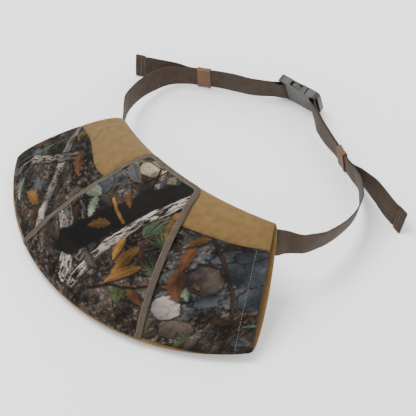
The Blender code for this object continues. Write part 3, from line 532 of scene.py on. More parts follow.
@dataclass
class Fill:
    """The padding's push on the shell: a cloth under pressure that is held at its seams.

    Attributes:
        form: the muff's layers.
        seams: where its panels meet.
        edges: gives the places of the pocket's two sides at section angles.
        columns: points along the muff.
        rows: points round it.
        pressure: push of the padding.
        cap: the furthest a point may move.
    """

    form: MuffForm
    seams: Seams
    edges: Callable[[Array], tuple]
    columns: int = 121
    rows: int = 110
    pressure: float = 4.0
    cap: float = 3.0 * MM

    def held(self, across: Array, angle: Array) -> Array:
        """Which points are sewn down: hems, ridge, welt, yoke seams and the pocket's sides."""
        reach = 1.1 * math.pi / self.rows
        side = 1.1 / self.columns
        sewn = (np.abs(across) > 0.91) | (angle < 2 * reach) | (angle > 2 * math.pi - 2 * reach)
        sewn |= np.abs(angle - self.seams.welt(across)) < reach
        beside = (across < -self.seams.left_inner) | (across > self.seams.right_inner)
        sewn |= beside & (np.abs(angle - self.seams.yoke(across)) < reach)
        left, right = self.edges(angle)
        sewn |= (angle < math.pi) & ((np.abs(across - left) < side) | (np.abs(across - right) < side))
        return sewn

    def simulate(self) -> Callable[[Array, Array], Array]:
        """Run the cloth for twenty frames and keep how far it moved off the form.

        Returns:
            A function of across and angle that gives the outward move, read from the grid by
            blending its four nearest points.
        """
        across = np.linspace(-0.96, 0.96, self.columns)[:, None]
        angle = np.linspace(0, 2 * math.pi, self.rows, endpoint=False)[None, :] + 0 * across
        across = across + 0 * angle
        start = self.form.point(across, angle, 0.0)
        cloth = make_piece("fill_cloth", start.reshape(-1, 3), grid_faces(self.columns, self.rows, True))
        group = cloth.vertex_groups.new(name="held")
        group.add(np.flatnonzero(self.held(across, angle).ravel()).tolist(), 1.0, "REPLACE")
        change = cloth.modifiers.new("fill", "CLOTH")
        change.settings.quality, change.settings.mass = 6, 0.02
        change.settings.tension_stiffness = change.settings.compression_stiffness = 8
        change.settings.shear_stiffness, change.settings.bending_stiffness = 4, 0.05
        change.settings.vertex_group_mass = "held"
        change.settings.use_pressure, change.settings.uniform_pressure_force = True, self.pressure
        change.settings.shrink_min = -0.04
        change.settings.effector_weights.gravity = 0.0
        change.point_cache.frame_start, change.point_cache.frame_end = 1, 20
        for number in range(1, 21):
            bpy.context.scene.frame_set(number)
        graph = bpy.context.evaluated_depsgraph_get()
        places = np.empty(start.size, dtype=np.float32)
        cloth.evaluated_get(graph).data.vertices.foreach_get("co", places)
        bpy.data.objects.remove(cloth, do_unlink=True)
        bpy.context.scene.frame_set(1)
        normal = unit(np.cross(np.gradient(start, axis=1), np.gradient(start, axis=0)))
        moved = np.sum((places.reshape(start.shape) - start) * normal, axis=-1)
        moved *= np.sign(np.median(np.sum(normal * self.form.normal(across, angle), axis=-1)))
        LOG.info("fill: moved %.2f to %.2f mm", moved.min() / MM, moved.max() / MM)
        moved = np.clip(moved, -self.cap, self.cap)

        def read(place: Array, turn: Array) -> Array:
            """How far the cloth moved out, blended between the nearest four simulated points.

            Args:
                place: distances along the muff, from -1 to 1.
                turn: angles round it, in radians.

            Returns:
                The movement outward, in metres.
            """
            u = np.clip((place + 0.96) / 1.92, 0, 1) * (self.columns - 1)
            v = np.mod(turn / (2 * math.pi), 1.0) * self.rows
            i, j = np.minimum(u.astype(int), self.columns - 2), v.astype(int) % self.rows
            a, b, k = u - i, v - v.astype(int), (j + 1) % self.rows
            return (moved[i, j] * (1 - a) + moved[i + 1, j] * a) * (1 - b) \
                + (moved[i, k] * (1 - a) + moved[i + 1, k] * a) * b

        return read


# ---- the printed pattern --------------------------------------------------------------------
class Woodland:
    """A printed scene of bark, leaves, stones and needles, painted at given places.

    Every shape is laid over the last one with a cover from 0 to 1, which is a smooth step of its
    signed distance over one millimetre. All sizes are in millimetres.
    """

    COAL, NIGHT, EARTH, MAUVE, SLATE = "0B0A09", "14110F", "352E26", "4A403A", "45484D"
    BARK_PALE, BARK_GREY, BARK_DARK, CREAM = "BDB0AA", "8C827C", "43372F", "A0937C"
    OCHRE, GOLD, RUST, UMBER = "735227", "86632F", "553722", "37261B"
    MOSS, SAGE, LICHEN, PINE = "4A5840", "66715F", "8B987F", "4C5A38"

    def __init__(self, places: Array, seed: int) -> None:
        """Start with the ground.

        Args:
            places: points by two, in millimetres.
            seed: which ground it is.
        """
        self.places = places
        self.random = np.random.default_rng(seed)
        self.colour = np.tile(linear(self.EARTH), (len(places), 1))

    def noise(self, scale: float, places: Optional[Array] = None, octaves: int = 3) -> Array:
        """Smooth random values from 0 to 1: lattice values blended, halved in size per octave."""
        places = self.places if places is None else places
        total, weight, height = np.zeros(len(places)), 0.0, 1.0
        for octave in range(octaves):
            lattice = self.random.random((64, 64))
            spot = places / scale * 2 ** octave + self.random.random(2) * 64
            cell = np.floor(spot).astype(int)
            share = smooth(spot - cell)
            i, j = cell[:, 0] % 64, cell[:, 1] % 64
            i1, j1 = (i + 1) % 64, (j + 1) % 64
            low = lattice[i, j] * (1 - share[:, 0]) + lattice[i1, j] * share[:, 0]
            high = lattice[i, j1] * (1 - share[:, 0]) + lattice[i1, j1] * share[:, 0]
            total += height * (low * (1 - share[:, 1]) + high * share[:, 1])
            weight += height
            height *= 0.55
        return total / weight

    def lay(self, cover: Array, colour: Array) -> None:
        """Paint a colour, or a colour for each place, with the given cover."""
        colour = linear(colour) if isinstance(colour, str) else colour
        cover = np.clip(cover, 0, 1)[:, None]
        self.colour = self.colour * (1 - cover) + colour * cover

    def ground(self, patches: Sequence[tuple]) -> None:
        """Soft-edged patches of earth and stone with fine speckles.

        Args:
            patches: colour, x, y, half width and half height of each.
        """
        ragged = self.noise(14, octaves=4)
        for colour, x, y, wide, high in patches:
            far = np.hypot((self.places[:, 0] - x) / wide, (self.places[:, 1] - y) / high)
            self.lay(smooth((1.25 - far - (ragged - 0.5) * 1.6) / 0.25), colour)
        self.lay(smooth((self.noise(12, octaves=4) - 0.52) / 0.08) * 0.8, self.NIGHT)
        self.lay(smooth((self.noise(5, octaves=3) - 0.55) / 0.1) * 0.6, self.COAL)
        self.lay(smooth((self.noise(3.2, octaves=2) - 0.64) / 0.08) * 0.4, self.BARK_GREY)
        self.lay(smooth((self.noise(2.4, octaves=2) - 0.70) / 0.06) * 0.6, self.OCHRE)

    def shade(self) -> Array:
        """Deepen the print in slow waves, as if light fell through a canopy.

        Returns:
            The colour of every place.
        """
        canopy = 0.36 + 0.70 * smooth((self.noise(30, octaves=3) - 0.34) / 0.32)
        return self.colour * canopy[:, None]

    def on_path(self, path: Sequence[tuple]) -> tuple:
        """Distance of every place from a path.

        Args:
            path: corners of the path.

        Returns:
            Signed distance, positive on the path's left, and the length along the path.
        """
        path = np.array(path, dtype=float)
        nearest, side, length, gone = np.full(len(self.places), 1e9), np.zeros(len(self.places)), None, 0.0
        length = np.zeros(len(self.places))
        for a, b in zip(path[:-1], path[1:]):
            step = b - a
            size = np.linalg.norm(step)
            share = np.clip((self.places - a) @ step / size ** 2, 0, 1)
            away = self.places - a - share[:, None] * step
            far = np.linalg.norm(away, axis=1)
            closer = far < nearest
            nearest = np.where(closer, far, nearest)
            side = np.where(closer, np.sign(step[0] * away[:, 1] - step[1] * away[:, 0]), side)
            length = np.where(closer, gone + share * size, length)
            gone += size
        return nearest * np.where(side == 0, 1, side), length

    def branch(self, path: Sequence[tuple], half: float, pale: str, dark: str, cracks: float = 0.5) -> None:
        """A branch with bark drawn as streaks along it and a shaded lower side.

        The streaks are noise read at the length along over nine and the distance across over 1.3.
        """
        across, along = self.on_path(path)
        wobble = (self.noise(22) - 0.5) * half * 0.7 + (self.noise(6) - 0.5) * half * 0.35
        edge = half - np.abs(across + wobble)
        self.lay(smooth((edge + 2.6) / 1.8) * 0.92, self.NIGHT)
        bark = np.column_stack([along / 9, (across + wobble + 2 * self.noise(7)) / 1.1]) * 4
        streak = self.noise(4, bark, 3)
        tone = linear(dark) + (linear(pale) - linear(dark)) * smooth((streak - 0.28) / 0.35)[:, None]
        round_shade = 0.62 + 0.5 * np.clip((across + wobble) / half * 0.5 + 0.5, 0, 1)
        self.lay(smooth((edge + 0.4) / 1.0), tone * round_shade[:, None])
        crack = smooth((self.noise(4, bark * [1.0, 0.8], 2) - (1 - cracks * 0.62)) / 0.06)
        self.lay(crack * smooth(edge / 0.8), self.NIGHT)

    def leaf(self, x: float, y: float, size: float, turn: float, colour: str, lobes: int = 0,
             slim: float = 0.42, rim: Optional[str] = None) -> None:
        """A leaf with a midrib, side veins, a lit half and a shadow under it.

        Its outline is a half width times (1 - t squared) to the power 0.7 at t along the midrib, cut
        by a cosine for the lobes.

        Args:
            x: place of the leaf's middle.
            y: the same, down the cloth.
            size: half length.
            turn: direction of the midrib in degrees.
            colour: main colour.
            lobes: number of lobes along each side.
            slim: half width over half length.
            rim: colour of a thin line round the edge.
        """
        angle = math.radians(turn)
        axis = np.array([math.cos(angle), math.sin(angle)])
        for shift, is_shadow in ((np.array([1.6, 2.2]), True), (np.zeros(2), False)):
            away = self.places - [x, y] - shift
            t = away @ axis / size
            side = away @ np.array([-axis[1], axis[0]]) + 0.12 * size * (t * t - 0.4)
            width = slim * size * np.clip(1 - t * t, 0, 1) ** 0.7 * (1 - 0.25 * t)
            if lobes:
                width = width * (0.72 + 0.30 * np.cos(t * math.pi * lobes) ** 2)
            edge = np.minimum(width - np.abs(side), (1 - np.abs(t)) * size)
            if is_shadow:
                self.lay(smooth((edge + 1.6) / 2.4) * 0.85, self.NIGHT)
        main = linear(colour)
        tone = np.where(side > 0, 1.12, 0.78) * (0.82 + 0.4 * self.noise(4, octaves=2))
        self.lay(smooth((edge + 0.5) / 1.0), main * tone[:, None])
        vein = np.abs(np.mod((t * size - np.abs(side) * 0.9) / (size * 0.24), 1.0) - 0.5) * size * 0.24
        inside = smooth(edge / 1.0)
        self.lay(inside * smooth((0.75 - vein) / 0.6) * 0.45, main * 0.42)
        self.lay(inside * smooth((1.0 - np.abs(side)) / 0.7) * 0.75, main * 1.5)
        if rim:
            self.lay(smooth((0.9 - np.abs(edge)) / 0.7) * 0.85, rim)

    def needles(self, x: float, y: float, size: float, turn: float, spread: float, count: int,
                colour: str) -> None:
        """A fan of pine needles from one foot, each a thin line that tapers."""
        for angle in np.radians(turn + np.linspace(-spread / 2, spread / 2, count)):
            reach = size * (0.7 + 0.3 * self.random.random())
            tilt = angle + 0.12 * (self.random.random() - 0.5)
            away = self.places - [x, y]
            t = np.clip((away @ [math.cos(tilt), math.sin(tilt)]) / reach, 0, 1)
            far = np.linalg.norm(away - (t * reach)[:, None] * [math.cos(tilt), math.sin(tilt)], axis=1)
            self.lay(smooth((1.5 - far) / 1.0) * 0.7, self.NIGHT)
            bright = 0.75 + 0.5 * self.random.random()
            self.lay(smooth((1.0 - 0.4 * t - far) / 0.6), linear(colour) * bright)

    def twig(self, path: Sequence[tuple], half: float, colour: str) -> None:
        """A thin twig with a dark side."""
        across, _ = self.on_path(path)
        across = across + (self.noise(9) - 0.5) * 2
        self.lay(smooth((half + 1.1 - np.abs(across - 0.8)) / 0.9) * 0.9, self.NIGHT)
        tone = linear(colour) * (1 + 0.35 * np.clip(across / half, -1, 1))[:, None]
        self.lay(smooth((half - np.abs(across) + 0.3) / 0.8), tone)

    def stone(self, x: float, y: float, wide: float, high: float, turn: float, colour: str) -> None:
        """A rounded stone, lit from above, with a ragged edge and speckles."""
        angle = math.radians(turn)
        away = self.places - [x, y]
        u = (away @ [math.cos(angle), math.sin(angle)]) / wide
        v = (away @ [-math.sin(angle), math.cos(angle)]) / high
        edge = (1 - np.hypot(u, v)) * min(wide, high) + (self.noise(8) - 0.5) * 5
        self.lay(smooth((edge + 2.4) / 2.0) * 0.9, self.NIGHT)
        speckle = 0.72 + 0.55 * self.noise(2.6, octaves=2)
        light = np.clip(1.05 - 0.45 * v, 0.4, 1.4)
        self.lay(smooth((edge + 0.4) / 1.0), linear(colour) * (speckle * light)[:, None])
        vein = smooth((0.05 - np.abs(self.noise(11) - 0.5)) / 0.03)
        self.lay(vein * smooth(edge / 1.5) * 0.5, linear(colour) * 0.35)

    def litter(self, area: tuple, count: int, size: tuple, colours: Sequence[str]) -> None:
        """Scatter small leaves over an area.

        Args:
            area: low x, high x, low y and high y.
            count: how many.
            size: smallest and largest half length.
            colours: colours to choose from.
        """
        for _ in range(count):
            x = area[0] + (area[1] - area[0]) * self.random.random()
            y = area[2] + (area[3] - area[2]) * self.random.random()
            reach = size[0] + (size[1] - size[0]) * self.random.random()
            self.leaf(x, y, reach, 360 * self.random.random(), colours[self.random.integers(len(colours))],
                      int(self.random.integers(0, 4)), 0.34 + 0.2 * self.random.random())


def pocket_scene(places: Array) -> Array:
    """The part of the print on the pocket: x from -95 to 95, y from 0 at the top to 180."""
    wood = Woodland(places, 11)
    wood.ground([(wood.MAUVE, 55, 150, 60, 40), (wood.EARTH, 50, 70, 60, 60), (wood.SLATE, -45, 30, 34, 30),
                 (wood.CREAM, -8, 12, 34, 16), (wood.NIGHT, -60, 120, 40, 26), (wood.NIGHT, 62, 20, 26, 30),
                 (wood.MAUVE, -62, 160, 30, 20), (wood.NIGHT, 30, 105, 20, 26)])
    wood.litter((-90, 90, 0, 178), 46, (7, 15), (wood.UMBER, wood.EARTH, wood.MOSS, wood.SLATE, wood.RUST,
                                                 wood.MAUVE))
    for x, y, size, turn in ((58, 52, 20, 100), (66, 72, 22, 60), (50, 92, 18, 120), (38, 126, 22, 100),
                             (60, 118, 18, 40)):
        wood.leaf(x, y, size, turn, wood.OCHRE if size > 18 else wood.UMBER, 1, 0.4)
    wood.needles(72, 92, 34, 200, 60, 9, wood.PINE)
    wood.needles(40, 92, 44, 285, 40, 8, wood.MOSS)
    wood.needles(86, 128, 36, 205, 50, 9, wood.MOSS)
    wood.needles(60, 176, 26, 245, 70, 7, wood.PINE)
    wood.leaf(60, 34, 21, 62, wood.OCHRE, 3, 0.44)
    wood.leaf(78, 58, 17, 110, wood.UMBER, 2)
    wood.leaf(40, 14, 15, 20, wood.RUST, 2)
    wood.leaf(46, 142, 24, 128, wood.OCHRE, 0, 0.26)
    wood.leaf(74, 158, 16, 30, wood.RUST, 3)
    wood.stone(-60, 72, 17, 12, 20, wood.SLATE)
    wood.stone(-24, 22, 15, 10, -15, wood.CREAM)
    for x, y, size, turn in ((-52, 18, 19, 70), (-36, 38, 17, 20), (-66, 36, 16, 120), (-22, 6, 13, 160)):
        wood.leaf(x, y, size, turn, wood.SAGE if turn > 50 else wood.SLATE, 3, 0.5, wood.GOLD)
    wood.leaf(-74, 62, 17, 100, wood.OCHRE, 3, 0.48)
    wood.leaf(-66, 92, 18, 155, wood.LICHEN, 4, 0.5)
    wood.leaf(-46, 104, 14, 60, wood.LICHEN, 3, 0.5)
    wood.leaf(-78, 116, 16, 70, wood.OCHRE, 3, 0.46)
    wood.branch([(-88, 128), (-60, 142), (-34, 160), (-20, 184)], 9.5, wood.BARK_PALE, wood.BARK_DARK, 0.7)
    wood.branch([(-84, 102), (-60, 112), (-40, 122)], 3.2, wood.BARK_GREY, wood.NIGHT, 0.6)
    wood.branch([(52, -12), (34, 26), (10, 60), (-10, 96), (-30, 128), (-42, 150)], 16, wood.NIGHT,
                wood.COAL, 0.9)
    wood.branch([(60, 4), (47, 34), (30, 66), (14, 100), (2, 136), (-6, 186)], 6.2, wood.BARK_PALE,
                wood.BARK_DARK, 0.7)
    wood.twig([(-14, 12), (-4, 26), (4, 44)], 1.0, wood.NIGHT)
    wood.twig([(-4, 8), (-6, 26), (-14, 40)], 0.9, wood.NIGHT)
    wood.twig([(-30, 78), (-14, 86), (4, 92)], 2.0, wood.GOLD)
    wood.leaf(-22, 112, 16, 140, wood.OCHRE, 2, 0.42)
    wood.leaf(22, 120, 15, 80, wood.GOLD, 0, 0.36)
    wood.leaf(-12, 66, 12, 40, wood.RUST, 2, 0.44)
    wood.needles(-86, 6, 30, 35, 46, 7, wood.PINE)
    wood.twig([(18, 178), (40, 160), (70, 150), (92, 132)], 1.0, wood.NIGHT)
    wood.leaf(0, 150, 13, 15, wood.MAUVE, 2)
    return wood.shade()


def panel_scene(places: Array) -> Array:
    """The part of the print on the muff's front: x from -235 to 235, y from 30 to 196."""
    wood = Woodland(places, 23)
    wood.ground([(wood.MAUVE, -150, 110, 80, 60), (wood.EARTH, -190, 150, 60, 50),
                 (wood.SLATE, 150, 90, 70, 46),
                 (wood.MAUVE, 190, 165, 60, 34), (wood.SLATE, 110, 140, 40, 40), (wood.NIGHT, -110, 85, 26,
                                                                                  16),
                 (wood.MAUVE, 120, 180, 60, 20), (wood.EARTH, -110, 170, 50, 30)])
    wood.litter((-235, -70, 50, 196), 34, (7, 15), (wood.UMBER, wood.EARTH, wood.MOSS, wood.MAUVE,
                                                    wood.SLATE))
    wood.litter((70, 235, 40, 196), 26, (7, 14), (wood.UMBER, wood.MAUVE, wood.SLATE, wood.EARTH))
    wood.stone(168, 76, 38, 24, 8, wood.SLATE)
    for x, y in ((128, 66), (150, 58), (214, 78), (150, 128), (176, 124)):
        wood.stone(x, y, 15, 9, x, wood.SLATE)
    wood.stone(128, 104, 22, 17, 30, wood.MAUVE)
    wood.stone(200, 112, 26, 20, -20, wood.SLATE)
    wood.stone(112, 150, 18, 14, 20, wood.BARK_GREY)
    wood.stone(138, 172, 20, 12, 0, wood.MAUVE)
    wood.stone(188, 62, 9, 6, 0, wood.NIGHT)
    wood.leaf(92, 84, 18, 80, wood.RUST, 2, 0.46)
    wood.leaf(104, 120, 23, 55, wood.RUST, 3, 0.48)
    wood.leaf(88, 60, 14, 130, wood.OCHRE, 2, 0.44)
    wood.twig([(96, 46), (130, 74), (166, 112), (196, 158), (206, 196)], 1.7, wood.UMBER)
    wood.needles(100, 194, 24, 290, 60, 6, wood.PINE)
    wood.needles(150, 192, 24, 280, 60, 6, wood.MOSS)
    wood.leaf(176, 150, 15, 20, wood.UMBER, 2)
    wood.branch([(-196, 52), (-160, 84), (-124, 122), (-96, 168), (-90, 200)], 6.2, wood.BARK_PALE,
                wood.BARK_DARK, 0.5)
    wood.branch([(-126, 76), (-150, 110), (-186, 148), (-214, 196)], 5.0, wood.BARK_GREY, wood.UMBER, 0.65)
    wood.needles(-210, 60, 34, 30, 60, 9, wood.PINE)
    wood.needles(-180, 118, 28, 120, 60, 8, wood.MOSS)
    wood.leaf(-116, 84, 17, 30, wood.RUST, 2, 0.46)
    wood.leaf(-222, 108, 17, 75, wood.OCHRE, 3, 0.46)
    wood.leaf(-208, 138, 15, 110, wood.RUST, 2, 0.46)
    wood.leaf(-136, 160, 17, 160, wood.OCHRE, 2, 0.42)
    wood.leaf(-168, 176, 13, 30, wood.LICHEN, 3, 0.48)
    wood.litter((-235, -75, 50, 196), 7, (6, 11), (wood.GOLD, wood.SAGE, wood.RUST))
    wood.litter((75, 235, 40, 196), 5, (6, 10), (wood.OCHRE, wood.SAGE, wood.RUST))
    return wood.shade()


# ---- sub-assemblies -------------------------------------------------------------------------
MADE: dict = {}


def finish_piece(piece: bpy.types.Object, finish: Finish, slot: str, body: str,
                 *nodes: str) -> bpy.types.Object:
    """Give a piece its finish and its body, and hide the CAD nodes it stands for; the record slot is not
    used.
    """
    if finish not in MADE:
        MADE[finish] = finish.make()
    piece.data.materials.clear()
    piece.data.materials.append(MADE[finish])
    if body:
        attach(piece, body)
    if nodes:
        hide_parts(*nodes)
    return piece


@dataclass
class Muff:
    """The muff's shell, wadding and lining.

    Attributes:
        form: the muff's layers.
        seams: where its panels meet.
        hem: how far the hem goes into each mouth; not used.
        seam_dip: depth of the groove where two panels meet.
        seam_reach: width over which a panel falls into the groove.
    """

    form: MuffForm
    seams: Seams
    hem: float = 10 * MM
    seam_dip: float = 1.5 * MM
    seam_reach: float = 3.5 * MM

    def columns(self, low: float, high: float, step: float, dense: Sequence[tuple] = ()) -> tuple:
        """Places along the muff with the hems rolled into the mouths.

        The roll is half an ellipse from the outer face to the lining, then a flat hem.

        Args:
            low: first place; -1 has a hem.
            high: last place; 1 has a hem.
            step: spacing, as a share of the half width.
            dense: ranges with a finer spacing.

        Returns:
            Each column's place, the share of the wall's thickness it lies at, and 1 on the outer
            face, turning through 0 at the rim to -1 on the hem.
        """
        if dense:
            flat = np.unique(np.concatenate([np.arange(a, b, s) for a, b, s in dense] + [[high]]))
        else:
            flat = np.linspace(low, high, max(3, int((high - low) / step)))
        turn = np.linspace(0, math.pi, 13)[1:]
        radius = 0.019
        flat = flat[(np.abs(flat) < 1 - radius) | ((low > -1) & (flat < 0)) | ((high < 1) & (flat > 0))]
        roll = np.concatenate([1 - radius + radius * np.sin(turn), 1 - radius - np.linspace(0.01, 0.07, 6)])
        share = np.concatenate([(1 - np.cos(turn)) / 2, np.ones(6)])
        way = np.concatenate([np.cos(turn), -np.ones(6)])
        place, depth, facing = flat, np.zeros_like(flat), np.ones_like(flat)
        if high >= 1:
            place, depth, facing = (np.concatenate(pair) for pair in
                                    ((place, roll), (depth, share), (facing, way)))
        if low <= -1:
            place, depth, facing = (np.concatenate(pair) for pair in
                                    ((-roll[::-1], place), (share[::-1], depth), (way[::-1], facing)))
        return place, depth, facing

    def panel(self, name: str, columns: tuple, angles: Array, paint: Optional[Callable] = None,
              dips: tuple = (True, True)) -> bpy.types.Object:
        """One panel of the shell, with its long edges turned down into the seams.

        Args:
            name: the piece's name.
            columns: from columns().
            angles: grid of section angles.
            paint: gives colours from places on the cloth in millimetres.
            dips: whether the first and the last row fall into a seam.

        Returns:
            The new piece.
        """
        place, share, facing = (np.broadcast_to(values, angles.shape) for values in columns)
        wall = self.form.wall(place, angles)
        rows = self.form.point(place, angles, 0.0)
        top, bottom, _, _ = border_distances(rows)
        far = np.minimum(np.where(dips[0], top, 1.0), np.where(dips[1], bottom, 1.0))
        dip = self.seam_dip * np.clip(1 - far / self.seam_reach, 0, 1) ** 2 * np.clip(1 - share * 2, 0, 1)
        outer_depth = wall * share + dip
        cloth = self.form.shell * 0.8
        outer = self.form.point(place, angles, outer_depth)
        inner_place = (place - np.sign(place) * cloth / (136 * MM)
                       * (1 - np.abs(facing)) ** 0.5 * (np.abs(place) > 0.9))
        inner = self.form.point(inner_place, angles, outer_depth + cloth * facing)
        uv = self.form.cloth_place(place, angles)
        colours = paint(uv.reshape(-1, 2) / MM).reshape(*angles.shape, 3) if paint else None
        return closed_sheet(name, outer, inner, uv, colours)

    def rows(self, start: Array, stop: Array, count: int) -> Array:
        """Section angles from start to stop in each column, closer together at both seams."""
        share = packed_columns(0, 1, count, 0.5)[:, None]
        return start[None, :] + (stop - start)[None, :] * share

    def build(self) -> None:
        """Make the shell's four panels, the two wads and the lining."""
        seams, form = self.seams, self.form
        columns = self.columns(-1, 1, 0, [(-1, -0.31, 0.0062), (-0.31, 0.23, 0.03), (0.23, 1, 0.0062)])
        place = columns[0]
        beside = (place < -seams.left_inner) | (place > seams.right_inner)
        start = np.where(beside, seams.yoke(place), seams.ridge)
        front = self.panel("front_camo", columns, self.rows(start, seams.welt(place) - 0.001, 118),
                           panel_scene)
        finish_piece(front, PRINTED, "camo_cloth", "muff", "front_shell")
        for side, name, inner in ((Side.LEFT, "left_yoke", seams.left_inner),
                                  (Side.RIGHT, "right_yoke", seams.right_inner)):
            low, high = (-1, -inner) if side is Side.LEFT else (inner, 1)
            columns = self.columns(low, high, 0.011)
            place = columns[0]
            angles = self.rows(np.full_like(place, seams.ridge), seams.yoke(place), 56)
            finish_piece(self.panel(name + "_cloth", columns, angles), TAN, "tan_brushed_cloth", "muff", name)
        columns = self.columns(-1, 1, 0.018)
        place = columns[0]
        angles = self.rows(seams.welt(place) + 0.001, np.full_like(place, 2 * math.pi - seams.ridge), 110)
        back = self.panel("back_cloth", columns, angles)
        finish_piece(back, TAN, "tan_brushed_cloth", "muff", "back_panel")
        self.wad("front_wadding", 0.0, "front_batting")
        self.wad("back_wadding", math.pi, "back_batting")
        self.tube()

    def wad(self, name: str, first: float, node: str) -> None:
        """One wad between shell and lining, over half of the section from an angle."""
        place = np.linspace(-0.93, 0.93, 60)[None, :]
        angles = (first + np.linspace(0.4, math.pi - 0.4, 40))[:, None] + 0 * place
        place = place + 0 * angles
        piece = closed_sheet(name, self.form.point(place, angles, self.form.shell + 1.7 * MM),
                             self.form.point(place, angles, self.form.pad_depth(place, angles) + 0.1 * MM),
                             self.form.cloth_place(place, angles))
        finish_piece(piece, WADDING, "wadding", "muff", node)

    def tube(self) -> None:
        """The lining, one tube whose ends go under the hems."""
        place = np.linspace(-0.955, 0.955, 140)[:, None]
        angles = np.linspace(0, 2 * math.pi, 180, endpoint=False)[None, :] + 0 * place
        place = place + 0 * angles
        inner_depth = self.form.wall(place, angles) + self.form.shell * 0.05 - 0.05 * MM
        tuck = smooth((np.abs(place) - 0.90) / 0.03) * self.form.shell
        inner_depth = inner_depth - tuck
        piece = closed_sheet("lining", self.form.point(place, angles, inner_depth - self.form.lining * 0.8),
                             self.form.point(place, angles, inner_depth), self.form.cloth_place(place,
                                                                                                angles),
                             around=True)
        finish_piece(piece, FLEECE, "fleece_lining", "muff", "front_lining", "back_lining")


def pocket_edges(angle: Array, sides: tuple = (-1.0, 1.0)) -> list:
    """Places along the muff of the pocket's left and right sides at section angles."""
    down = ((1 - np.cos(angle)) / 2) ** 0.8
    return [-0.05 + 0.065 * down + side * (0.335 + 0.11 * down) for side in sides]


